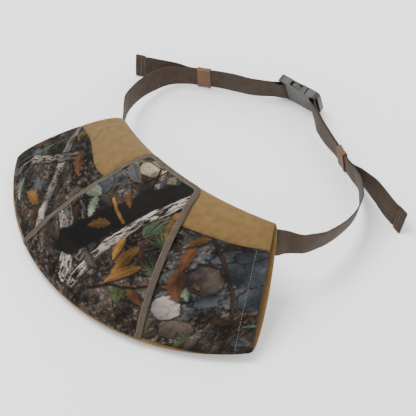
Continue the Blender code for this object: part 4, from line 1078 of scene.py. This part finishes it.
@dataclass
class Pocket:
    """The patch pocket and the tape that binds its edge.

    Attributes:
        form: the muff's layers.
        seams: where its panels meet.
        corner: radius of its upper corners.
        tape: width of the binding on the front.
    """

    form: MuffForm
    seams: Seams
    corner: float = 13 * MM
    tape: float = 8.2 * MM
    cloth: float = 1.1 * MM
    tape_cloth: float = 0.5 * MM
    top_angle: float = 0.20

    def __post_init__(self) -> None:
        """Measure the pocket down its middle, so that places can be given in millimetres."""
        self.last = float(self.seams.welt(np.array(0.0))) - 0.02
        angles = np.linspace(self.top_angle, self.last, 400)
        line = self.point_at(np.zeros_like(angles), angles, 0.0)
        self.drops, self.angles = travelled(line), angles
        self.length = self.drops[-1]
        edge = self.point_at(np.ones_like(angles), angles, 0.0) - self.point_at(-np.ones_like(angles),
                                                                                angles, 0.0)
        self.half_widths = np.linalg.norm(edge, axis=1) / 2 * 1.03

    def point_at(self, sideways: Array, angle: Array, height: Array) -> Array:
        """Points at a height over the pocket cloth's back, from -1 at its left edge to 1 at its right."""
        left, right = pocket_edges(angle)
        across = (left + right) / 2 + sideways * (right - left) / 2
        share = (angle - self.top_angle) / (self.last - self.top_angle)
        air = 0.8 * MM + 2.6 * MM * np.sin(np.clip(share, 0, 1) * math.pi) ** 2
        return self.form.point(across, angle, -air - height)

    def place(self, sideways: Array, drop: Array, shift: Array, height: Array) -> Array:
        """Points from a side share, a drop below the top edge and a shift sideways, in metres."""
        angle = np.interp(drop, self.drops, self.angles)
        return self.point_at(sideways + shift / np.interp(drop, self.drops, self.half_widths), angle, height)

    def outline(self) -> tuple:
        """The pocket's left side, top and right side with rounded corners.

        Returns:
            For each point: side share, drop, shift, and the direction into the pocket.
        """
        side_drops = np.linspace(self.length, self.corner, 90)
        turns = np.linspace(0, math.pi / 2, 14)[1:]
        count = len(side_drops)
        reach = self.corner / self.half_widths[0]
        top = np.linspace(-1 + reach, 0, 40)[1:]
        parts = [(np.full(count, -1.0), side_drops, np.zeros(count), np.ones(count), np.zeros(count)),
                 (np.full(13, -1.0), self.corner * (1 - np.sin(turns)), self.corner * (1 - np.cos(turns)),
                  np.cos(turns), np.sin(turns)),
                 (top, np.zeros(39), np.zeros(39), np.zeros(39), np.ones(39))]
        left = np.concatenate([np.stack(part) for part in parts], axis=1)
        right = left[:, -2::-1] * np.array([-1, 1, -1, -1, 1])[:, None]
        return tuple(np.concatenate([left, right], axis=1))

    def at_edge(self, inward: float, height: float) -> Array:
        """The outline moved into the pocket and raised off its cloth."""
        sideways, drop, shift, into_x, into_y = self.outline()
        return self.place(sideways, drop + inward * into_y, shift + inward * into_x, height)

    def build(self) -> None:
        """Make the pocket's cloth and its binding."""
        rows = np.concatenate([np.linspace(1.2 * MM, self.corner, 16)[:-1],
                               np.linspace(self.corner, self.length, 165)])
        inset = np.where(rows < self.corner,
                         self.corner - np.sqrt(np.clip(self.corner ** 2 - (self.corner - rows) ** 2, 0,
                                                       None)), 0)
        half = 1 - (inset + 1.2 * MM) / np.interp(rows, self.drops, self.half_widths)
        sideways = half[:, None] * np.linspace(-1, 1, 180)[None, :]
        drops = rows[:, None] + 0 * sideways
        outer = self.place(sideways, drops, 0.0, self.cloth)
        inner = self.place(sideways, drops, 0.0, 0.0)
        uv = np.stack([sideways * np.interp(drops, self.drops, self.half_widths), drops], axis=-1)
        paint = pocket_scene(uv.reshape(-1, 2) / MM).reshape(*sideways.shape, 3)
        panel = closed_sheet("pocket_cloth", outer, inner, uv, paint)
        finish_piece(panel, PRINTED, "camo_cloth", "muff", "pocket_panel")
        self.binding()

    def binding(self) -> None:
        """Sweep a U-shaped fold of tape round the outline, over the cloth's edge."""
        t, full, top, low = self.tape_cloth, self.tape, self.cloth + 0.6 * MM, -0.45 * MM
        turn = np.linspace(math.pi / 2, 3 * math.pi / 2, 9)
        middle, half = (top + low) / 2, (top - low) / 2
        crown = np.array([(full, 0.5), (full - 1 * MM, 0.0), (full / 2, 0.0), (half, 0.0)])
        outer = [(inward, top - drop * t) for inward, drop in crown]
        outer += [(half + half * math.cos(a), middle + half * math.sin(a)) for a in turn[1:-1]]
        outer += [(half, low), (full - 1 * MM, low), (full, low)]
        hollow = half - t
        inner = [(full, low + t), (half, low + t)]
        inner += [(half + hollow * math.cos(a), middle + hollow * math.sin(a)) for a in turn[::-1][1:-1]]
        inner += [(half, top - t), (full, top - t)]
        profile = outer + inner
        grid = np.stack([self.at_edge(inward, height) for inward, height in profile], axis=1)
        length = travelled(grid[:, 0])
        around = travelled(np.array([(*point, 0) for point in profile]))
        uv = np.stack(np.broadcast_arrays(length[:, None], around[None, :]), axis=-1)
        finish_piece(tube_piece("pocket_tape", grid, uv), TAPE, "grosgrain_tape", "muff",
                     "pocket_binding_left", "pocket_binding_right", "pocket_binding_top")


def tube_piece(name: str, grid: Array, uv: Array) -> bpy.types.Object:
    """A closed bar from rings of points, with a fan of quads over each end.

    Args:
        name: the piece's name.
        grid: rings by points by three.
        uv: rings by points by two.

    Returns:
        The new piece.
    """
    rings, count = grid.shape[:2]
    faces = grid_faces(rings, count, True)
    caps = []
    half = count // 2
    for base, is_last in ((0, False), ((rings - 1) * count, True)):
        for i in range(half - 1):
            quad = [base + i, base + i + 1, base + count - 2 - i, base + count - 1 - i]
            if len(set(quad)) == 4:
                caps.append(quad[::-1] if is_last else quad)
    faces = np.concatenate([faces, np.array(caps)])
    return make_piece(name, grid.reshape(-1, 3), faces, uv.reshape(-1, 2))


@dataclass
class Buckle:
    """The side-release buckle's own directions, and its looks from the CAD shapes.

    Attributes:
        place: the joint line between its two halves.
        heading: direction of its slide, in degrees.
        lean: how far it leans back, in degrees.
    """

    place: tuple = (-33 * MM, 196.5 * MM)
    heading: float = 11.0
    lean: float = 15.0
    half: float = 20.5 * MM
    thick: float = 10.4 * MM
    bar_out: float = 0.8 * MM

    def __post_init__(self) -> None:
        """Work out the directions along the slide, across the webbing and outward."""
        heading, lean = math.radians(self.heading), math.radians(self.lean)
        level = np.array([-math.sin(heading), math.cos(heading), 0.0])
        up = np.array([0.0, 0.0, 1.0])
        self.along = np.array([math.cos(heading), math.sin(heading), 0.0])
        self.wide = up * math.cos(lean) - level * math.sin(lean)
        self.out = level * math.cos(lean) + up * math.sin(lean)
        height = self.half * math.cos(lean) + self.thick / 2 * math.sin(lean) + 0.3 * MM
        self.origin = np.array([*self.place, height])

    def point(self, along: Array, wide: Array, out: Array) -> Array:
        """Points from distances along, across and outward, before the model is put on the floor."""
        return self.origin + np.multiply.outer(along, self.along) + np.multiply.outer(wide, self.wide) \
            + np.multiply.outer(out, self.out)

    def build(self) -> None:
        """Round the edges of the CAD shapes."""
        for node, body in (("buckle_socket", "muff"), ("buckle_plug", "plug"),
                           ("release_arm_upper", "arm_upper"), ("release_arm_lower", "arm_lower")):
            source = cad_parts[node]
            mesh = source.data.copy()
            piece = bpy.data.objects.new(node + "_moulding", mesh)
            bpy.context.scene.collection.objects.link(piece)
            shape = bmesh.new()
            shape.from_mesh(mesh)
            bmesh.ops.remove_doubles(shape, verts=shape.verts, dist=1e-6)
            bmesh.ops.dissolve_limit(shape, angle_limit=math.radians(1), verts=shape.verts, edges=shape.edges)
            shape.to_mesh(mesh)
            shape.free()
            bevel = piece.modifiers.new("edges", "BEVEL")
            bevel.width, bevel.segments, bevel.limit_method = 0.7 * MM, 3, "ANGLE"
            bevel.angle_limit = math.radians(35)
            bevel.use_clamp_overlap = True
            mesh.shade_smooth()
            mesh.set_sharp_from_angle(angle=math.radians(35))
            finish_piece(piece, ACETAL, "buckle_plastic", body, node)
            LOG.info("%s: rounded", piece.name)


# Middle lines of the webbing as x, y, height in millimetres and lean towards the loop in degrees.
RIGHT_RUN = ((158, -17, 75, 8), (167, -2, 69, 0), (171, 28, 58, -11), (166, 70, 47, -15), (149, 109, 36, -13),
             (128, 131.5, 29, -5), (107, 145.8, 23, 4), (92, 151, 19, 5))
RIGHT_KEEPER = ((85, 154, 18.2, 6), (67.3, 159.7, 18.2, 6), (49.6, 165.4, 18.2, 6), (20, 173, 18.4, -1),
                (3, 179, 19.5, -3))
RIGHT_TAIL = ((93, 153.6, 18, 5), (108, 156, 17.4, 0), (132.5, 154, 16.4, -16), (161, 147, 15.4, -24),
              (191, 142, 14.4, -31))
LEFT_RUN = ((-141, -19, 47, 0), (-156, -5, 45, 0), (-168, 8, 40, -3), (-179, 27, 33, -2),
            (-186.5, 48, 27, -3),
            (-188.5, 70, 23, -5), (-184, 96, 19.5, -3))
LEFT_KEEPER = ((-167.5, 115.5, 18.2, 6), (-152.8, 126.3, 18.2, 6), (-138.1, 137.1, 18.2, 6),
               (-118.5, 149, 18.4, 4), (-98, 160, 19, 6))
LEFT_TAIL = ((-186, 107.5, 17, -3), (-204, 95.5, 16.4, -9), (-230, 79.5, 15.8, -17))


@dataclass
class Strap:
    """One length of webbing: sewn behind the muff, round a bar, back through its keeper to a tail.

    Attributes:
        side: the muff's end it is sewn to.
        bar: the bar's distance along the buckle.
        turn: how far the doubled webbing turns as it leaves the bar, in radians.
        bend: radius of that turn.
        run: route from the muff to the keeper.
        keeper: route from the keeper to the buckle.
        tail: route of the free end.
        inset: from the mouth to where the webbing leaves the panel.
        peel: how far it has come away from the panel there.
        anchor_angle: section angle of the anchor, back from the upper edge.
    """

    side: Side
    bar: float
    turn: float
    bend: float
    run: tuple
    keeper: tuple
    tail: tuple
    inset: float
    peel: float
    anchor_angle: float
    form: MuffForm
    buckle: Buckle
    width: float = 32 * MM
    thick: float = 1.4 * MM
    layer_gap: float = 0.3 * MM
    bar_reach: float = 3.1 * MM
    fold: float = 12 * MM
    step: float = 2.2 * MM

    @staticmethod
    def route(points: tuple) -> Array:
        """A route's points in metres."""
        return np.array(points, dtype=float)[:, :3] * MM

    @staticmethod
    def ups(points: tuple) -> Array:
        """Width directions along a route: upright, leaned towards the middle of the loop."""
        lean = np.radians(np.array(points, dtype=float)[:, 3:])
        inward = (np.array([0.0, 60 * MM, 0.0]) - Strap.route(points)) * np.array([1.0, 1.0, 0.0])
        return np.array([0.0, 0.0, 1.0]) * np.cos(lean) + unit(inward) * np.sin(lean)

    @staticmethod
    def square_up(line: Array, width: Array) -> Array:
        """Make the width directions unit length and square to the line."""
        along = unit(np.gradient(line, axis=0))
        return unit(width - along * np.sum(width * along, axis=1, keepdims=True))

    def spline(self, points: Array, ups: Array, step: float) -> tuple:
        """Centripetal Catmull-Rom curve, where knots lie the square root of each step apart.

        Args:
            points: where the curve passes.
            ups: width directions there.
            step: spacing of its samples.

        Returns:
            The line's points and its width directions.
        """
        padded = np.vstack([2 * points[0] - points[1], points, 2 * points[-1] - points[-2]])
        padded_ups = np.vstack([ups[0], ups, ups[-1]])
        knots = np.concatenate([[0], np.cumsum(np.linalg.norm(np.diff(padded, axis=0), axis=1) ** 0.5)])
        line, width = [], []
        for i in range(1, len(padded) - 2):
            count = max(1, int(round(np.linalg.norm(padded[i + 1] - padded[i]) / step)))
            share = np.arange(count)[:, None] / count
            t0, t1, t2, t3 = knots[i - 1:i + 3]
            t = t1 + (t2 - t1) * share
            a1 = (t1 - t) / (t1 - t0) * padded[i - 1] + (t - t0) / (t1 - t0) * padded[i]
            a2 = (t2 - t) / (t2 - t1) * padded[i] + (t - t1) / (t2 - t1) * padded[i + 1]
            a3 = (t3 - t) / (t3 - t2) * padded[i + 1] + (t - t2) / (t3 - t2) * padded[i + 2]
            b1 = (t2 - t) / (t2 - t0) * a1 + (t - t0) / (t2 - t0) * a2
            b2 = (t3 - t) / (t3 - t1) * a2 + (t - t1) / (t3 - t1) * a3
            line.append((t2 - t) / (t2 - t1) * b1 + (t - t1) / (t2 - t1) * b2)
            width.append(padded_ups[i] * (1 - smooth(share)) + padded_ups[i + 1] * smooth(share))
        line, width = np.vstack([*line, padded[-2:-1]]), np.vstack([*width, padded_ups[-2:-1]])
        return line, self.square_up(line, width)

    def anchor(self) -> tuple:
        """Webbing sewn behind the muff: points off the back panel and width directions."""
        side = self.side.value
        place = side * (1 - (self.inset + 34 * MM * np.array([1.0, 0.5, 0.0])) / (136 * MM))
        angle = 2 * math.pi - self.anchor_angle
        lift = -(2 * MM + self.thick / 2) - np.array([0.0, 0.2, 1.0]) * self.peel
        up = self.form.point(place, angle + 0.05, lift) - self.form.point(place, angle - 0.05, lift)
        return self.form.point(place, angle, lift) - self.form.place, unit(up)

    def line(self) -> tuple:
        """Centre line and width directions from the anchor to the tail.

        Returns:
            The line and its width directions, through the lead, the near layer, the loop and the far layer.
        """
        side, buckle = self.side.value, self.buckle
        bends = np.linspace(0, self.turn, 5)
        out = np.array([0.8 * MM, -0.35 * MM, *(-1.5 * MM - self.bend * np.sin(bends))])
        along = np.array([0.0, 0.0, *(self.bend - self.bend * np.cos(bends))])
        start = buckle.point(self.bar + side * along, np.zeros_like(along), out)
        points = np.vstack([start, self.route(self.keeper)[::-1]])
        ups = np.vstack([np.tile(buckle.wide, (len(start), 1)), self.ups(self.keeper)[::-1]])
        middle, ups = self.spline(points, ups, 1.6 * MM)
        across = np.cross(unit(np.gradient(middle, axis=0)), ups)
        across = -across if np.dot(across[0], -side * buckle.along) < 0 else across
        closed = (self.thick + self.layer_gap) / 2
        spread = self.bar_reach + (closed - self.bar_reach) * smooth(travelled(middle) / (26 * MM))
        near, far = middle + across * spread[:, None], middle - across * spread[:, None]
        half_turn = np.linspace(0, math.pi, 17)[1:-1]
        loop = buckle.point(self.bar - side * self.bar_reach * np.cos(half_turn), 0 * half_turn,
                            buckle.bar_out + self.bar_reach * np.sin(half_turn))
        anchor, anchor_up = self.anchor()
        lead, lead_ups = self.spline(np.vstack([anchor, self.route(self.run), near[-1]]),
                                     np.vstack([anchor_up, self.ups(self.run), ups[-1]]), self.step)
        end, end_ups = self.spline(np.vstack([far[-1], self.route(self.tail)]),
                                   np.vstack([ups[-1], self.ups(self.tail)]), self.step)
        line = np.vstack([lead[:-1], near[::-1], loop, far[:-1], end])
        width = np.vstack([lead_ups[:-1], ups[::-1], np.tile(buckle.wide, (len(loop), 1)), ups[:-1], end_ups])
        return line, self.square_up(line, width)

    def folded(self, line: Array, width: Array) -> tuple:
        """Turn the last part of the line back over itself as a sewn fold.

        The line sidesteps by three quarters of the thickness, turns on a half circle of that radius
        and comes back at the same distance on the other side.
        """
        across = np.cross(unit(np.gradient(line, axis=0)), width)
        left = travelled(line)[-1] - travelled(line)
        radius = 0.75 * self.thick
        shift = radius * smooth((self.fold + 6 * MM - left) / (6 * MM))
        there = line - across * shift[:, None]
        back = left <= self.fold
        ahead = unit(line[-1] - line[-2])
        turn = np.linspace(0, math.pi, 9)[1:-1, None]
        bend = line[-1] - across[-1] * radius * np.cos(turn) + ahead * radius * np.sin(turn)
        home = (line + across * radius)[back][::-1]
        return np.vstack([there, bend, home]), np.vstack([width, np.tile(width[-1], (7, 1)),
                                                          width[back][::-1]])

    def ribbon(self, name: str, line: Array, width: Array) -> bpy.types.Object:
        """Sweep the webbing's section along a line: flat faces, rounded and slightly thinner edges."""
        half, thin = self.width / 2, self.thick / 2
        level = np.array([0.0, 0.5, 0.93, 0.985, 1.0])
        swell = np.array([1.0, 1.0, 0.96, 0.6, 0.0])
        wide = np.concatenate([-level[::-1], level[1:], level[-2::-1], -level[1:-1]]) * half
        deep = np.concatenate([swell[::-1], swell[1:], -swell[-2::-1], -swell[1:-1]]) * thin
        across = np.cross(unit(np.gradient(line, axis=0)), width)
        grid = line[:, None] + width[:, None] * wide[None, :, None] + across[:, None] * deep[None, :, None]
        uv = np.stack(np.broadcast_arrays(travelled(line)[:, None], wide[None, :]), axis=-1)
        return tube_piece(name, grid, uv)

    def build(self) -> None:
        """Make the webbing and its keeper."""
        line, width = self.line()
        long_line, long_width = self.folded(line, width)
        word = self.side.name.lower()
        piece = self.ribbon(word + "_webbing", long_line + self.form.place, long_width)
        if self.side is Side.LEFT:
            finish_piece(piece, WEBBING, "webbing", "muff", "left_strap")
        else:
            finish_piece(piece, WEBBING, "webbing", "", "right_strap_run", "right_strap_loop",
                         "right_strap_tail")
            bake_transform(piece)
        self.band(word + "_keeper")

    def band(self, node: str) -> None:
        """The elastic keeper: a rounded, slightly waisted band round both layers."""
        points = self.route(self.keeper)
        along = unit(points[2] - points[0])
        up = self.ups(self.keeper)[1]
        up = unit(up - along * np.dot(up, along))
        deep = np.cross(along, up)
        half_up, half_deep, corner = self.width / 2 + 0.5 * MM, self.thick + 0.65 * MM, 1.1 * MM
        turns = np.linspace(0, math.pi / 2, 6)
        ring = []
        for quarter, (a, b) in enumerate(((1, 1), (-1, 1), (-1, -1), (1, -1))):
            angle = turns + quarter * math.pi / 2
            ring.append(np.column_stack([a * (half_up - corner) + corner * np.cos(angle),
                                         b * (half_deep - corner) + corner * np.sin(angle)]))
        ring = np.concatenate(ring)
        normals = unit(ring / [half_up, half_deep] ** np.array(3.0))
        lengths = np.linspace(-0.5, 0.5, 15) * 17 * MM
        bulge = 0.25 * MM * np.cos(lengths / (17 * MM) * math.pi * 2) * -1 + 0.25 * MM
        grids = []
        for thick in (0.9 * MM, 0.0):
            rings = ring[None] + normals[None] * (thick + bulge * (thick > 0))[:, None, None]
            grids.append(points[1] + self.form.place + along * lengths[:, None, None]
                         + up * rings[..., :1] + deep * rings[..., 1:])
        around = travelled(np.column_stack([ring, 0 * ring[:, 0]]))
        uv = np.stack(np.broadcast_arrays(around[None, :], lengths[:, None]), axis=-1)
        finish_piece(closed_sheet(node + "_elastic", grids[0], grids[1], uv, around=True), ELASTIC, "elastic",
                     node, node)


@dataclass
class Stitching:
    """Rows of thread drawn as small capsules.

    Attributes:
        form: the muff's layers.
        seams: where its panels meet.
        length: visible length of one stitch.
        gap: length of cloth between two stitches.
        thread: radius of the thread.
    """

    form: MuffForm
    seams: Seams
    length: float = 2.4 * MM
    gap: float = 1.0 * MM
    thread: float = 0.28 * MM

    def row(self, line: Array, out: Array) -> tuple:
        """Places of the stitches along a row.

        Args:
            line: points of the row, on the cloth.
            out: unit directions off the cloth.

        Returns:
            Middles, directions along the row and directions off the cloth, one row per stitch.
        """
        length = travelled(line)
        spots = np.arange(self.gap, length[-1] - self.length, self.length + self.gap) + self.length / 2
        pick = lambda values: np.column_stack([np.interp(spots, length, values[:, i]) for i in range(3)])
        return pick(line), unit(pick(np.gradient(line, axis=0))), unit(pick(out))

    def sew(self, name: str, rows: Sequence[tuple], finish: Finish, slot: str, body: str) -> bpy.types.Object:
        """One piece from rows of stitches; each stitch is a bowed capsule of 5 rings by 6 points."""
        middles, along, out = (np.concatenate(part) for part in zip(*rows))
        side = np.cross(along, out)
        reach = np.array([-0.5, -0.3, 0.0, 0.3, 0.5]) * self.length
        size = np.array([0.25, 0.9, 1.0, 0.9, 0.25]) * self.thread
        bow = np.array([-0.5, 0.1, 0.3, 0.1, -0.5]) * self.thread
        turn = np.arange(6) * math.pi / 3
        grid = middles[:, None, None] + along[:, None, None] * reach[None, :, None, None] \
            + out[:, None, None] * (bow[:, None] + size[:, None] * np.sin(turn))[None, :, :, None] \
            + side[:, None, None] * (size[:, None] * np.cos(turn))[None, :, :, None]
        one = grid_faces(5, 6, True)
        ends = np.array([[0, 1, 2, 3], [0, 3, 4, 5], [27, 26, 25, 24], [29, 28, 27, 24]])
        one = np.concatenate([one[:, ::-1], ends])
        faces = (one[None] + 30 * np.arange(len(middles))[:, None, None]).reshape(-1, 4)
        points = grid.reshape(-1, 3)
        return finish_piece(make_piece(name, points, faces, 0 * points[:, :2]), finish, slot, body)

    def on_muff(self, across: Array, angle: Array, lift: float = 0.1 * MM) -> tuple:
        """A row on the muff's outer face."""
        across, angle = np.broadcast_arrays(across, angle)
        return self.row(self.form.point(across, angle, -lift), self.form.normal(across, angle))

    def build(self, pocket: Pocket, straps: Sequence[Strap]) -> None:
        """Sew the hems, the yokes' edges, the binding and the webbing."""
        seams = self.seams
        hem = 0.915
        tan, grey = [], []
        for side in (-1, 1):
            yoke = float(seams.yoke(np.array(side * hem)))
            tan.append(self.on_muff(side * hem, np.linspace(0.25, yoke - 0.02, 60)))
            grey.append(self.on_muff(side * hem,
                                     np.linspace(yoke + 0.03, float(seams.welt(np.array(side * hem))) - 0.02,
                                                 80)))
            tan.append(self.on_muff(side * hem, np.linspace(math.pi + 0.1, 2 * math.pi - 0.2, 90)))
        for low, high in ((-0.985, -0.40), (0.30, 0.985)):
            places = np.linspace(low, high, 120)
            tan.append(self.on_muff(places, seams.yoke(places) - 0.045))
        self.sew("tan_stitches", tan, TAN_THREAD, "tan_brushed_cloth", "muff")
        self.sew("grey_stitches", grey, GREY_THREAD, "camo_cloth", "muff")
        line = pocket.at_edge(pocket.tape - 1.4 * MM, pocket.cloth + 0.62 * MM)
        above = pocket.at_edge(pocket.tape - 1.4 * MM, pocket.cloth + 1.62 * MM)
        self.sew("tape_stitches", [self.row(line, above - line)], GREY_THREAD, "grosgrain_tape", "muff")
        for strap in straps:
            self.web_stitches(strap)

    def web_stitches(self, strap: Strap) -> None:
        """Two rows across the tail's fold, on both faces of the webbing."""
        line, width = strap.line()
        across = np.cross(unit(np.gradient(line, axis=0)), width)
        left = travelled(line)[-1] - travelled(line)
        rows = []
        for back in (strap.fold - 2 * MM, strap.fold - 4.5 * MM):
            i = int(np.argmin(np.abs(left - back)))
            for face in (-1, 1):
                middle = line[i] + across[i] * face * (strap.thick * 1.25 + 0.1 * MM) + self.form.place
                spread = np.linspace(-1, 1, 20)[:, None] * (strap.width / 2 - 2 * MM)
                rows.append(self.row(middle + width[i] * spread, np.tile(across[i] * face, (20, 1))))
        body = "muff"
        self.sew(strap.side.name.lower() + "_tail_stitches", rows, GREY_THREAD, "webbing", body)


@dataclass
class Studio:
    """A pale floor, soft lamps and the camera."""

    azimuth: float = 48.7
    elevation: float = 49.0
    roll: float = -1.02
    distance: float = 3.29
    lens: float = 233.0
    aim: tuple = (0.0, 0.0, 0.05)
    shift: tuple = (12.2 * MM, -36.3 * MM)

    def build(self) -> None:
        """Make the floor, the lamps and the camera."""
        bpy.ops.mesh.primitive_plane_add(size=12)
        floor = bpy.context.object
        floor.name = "floor"
        material = bpy.data.materials.new("pale_floor")
        material.use_nodes = True
        shader = material.node_tree.nodes["Principled BSDF"]
        shader.inputs["Base Color"].default_value = (0.93, 0.93, 0.93, 1)
        shader.inputs["Roughness"].default_value = 0.9
        shader.inputs["Specular IOR Level"].default_value = 0.1
        floor.data.materials.append(material)
        world = bpy.data.worlds.new("studio")
        world.use_nodes = True
        world.node_tree.nodes["Background"].inputs["Color"].default_value = (1, 1, 1, 1)
        world.node_tree.nodes["Background"].inputs["Strength"].default_value = 1.2
        bpy.context.scene.world = world
        self.lamp("key", (-0.5, -0.3, 1.9), 1.0, 44)
        self.lamp("fill", (1.8, -0.6, 1.1), 1.6, 12)
        self.lamp("back", (-0.6, 1.9, 1.4), 1.5, 20)
        self.camera()

    def lamp(self, name: str, place: tuple, size: float, power: float) -> None:
        """A square soft lamp that points at the muff."""
        data = bpy.data.lights.new(name, "AREA")
        data.size, data.energy = size, power
        lamp = bpy.data.objects.new(name, data)
        bpy.context.scene.collection.objects.link(lamp)
        self.point_at(lamp, np.array(place), unit(np.array(place) - np.array(self.aim)), 0.0)

    @staticmethod
    def point_at(item: bpy.types.Object, place: Array, back: Array, roll: float) -> None:
        """Put an object at a place with its own -Z along the opposite of back."""
        right = unit(np.cross([0.0, 0.0, 1.0], back))
        up = np.cross(back, right)
        right, up = (right * math.cos(roll) + up * math.sin(roll),
                     up * math.cos(roll) - right * math.sin(roll))
        item.location = place
        item.rotation_euler = (math.atan2(up[2], back[2]), -math.asin(right[2]),
                               math.atan2(right[1], right[0]))

    def camera(self) -> None:
        """A long lens that looks down at the muff."""
        turn, lift = math.radians(self.azimuth), math.radians(self.elevation)
        back = np.array([math.sin(turn) * math.cos(lift), -math.cos(turn) * math.cos(lift), math.sin(lift)])
        right = np.array([math.cos(turn), math.sin(turn), 0.0])
        up = np.cross(back, right)
        roll = math.radians(self.roll)
        right, up = right * math.cos(roll) + up * math.sin(roll), up * math.cos(roll) - right * math.sin(roll)
        place = np.array(self.aim) + right * self.shift[0] + up * self.shift[1] + back * self.distance
        data = bpy.data.cameras.new("camera")
        data.lens, data.sensor_width, data.clip_end = self.lens, 36, 50
        camera = bpy.data.objects.new("camera", data)
        bpy.context.scene.collection.objects.link(camera)
        self.point_at(camera, place, back, roll)
        bpy.context.scene.camera = camera


def main() -> None:
    """Build every piece."""
    form, seams, buckle = MuffForm(), Seams(), Buckle()
    form.puff = Fill(form, seams, pocket_edges).simulate()
    Muff(form, seams).build()
    pocket = Pocket(form, seams)
    pocket.build()
    buckle.build()
    left = Strap(Side.LEFT, -34.4 * MM, math.radians(84), 6 * MM, LEFT_RUN, LEFT_KEEPER, LEFT_TAIL,
                 16 * MM, 10 * MM, 0.95, form, buckle)
    right = Strap(Side.RIGHT, 9.8 * MM, math.radians(46), 8 * MM, RIGHT_RUN, RIGHT_KEEPER, RIGHT_TAIL,
                  3 * MM, 2.5 * MM, 0.84, form, buckle)
    for strap in (left, right):
        strap.build()
    Stitching(form, seams).build(pocket, (left, right))
    Studio().build()
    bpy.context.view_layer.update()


if __name__ == "__main__":
    main()
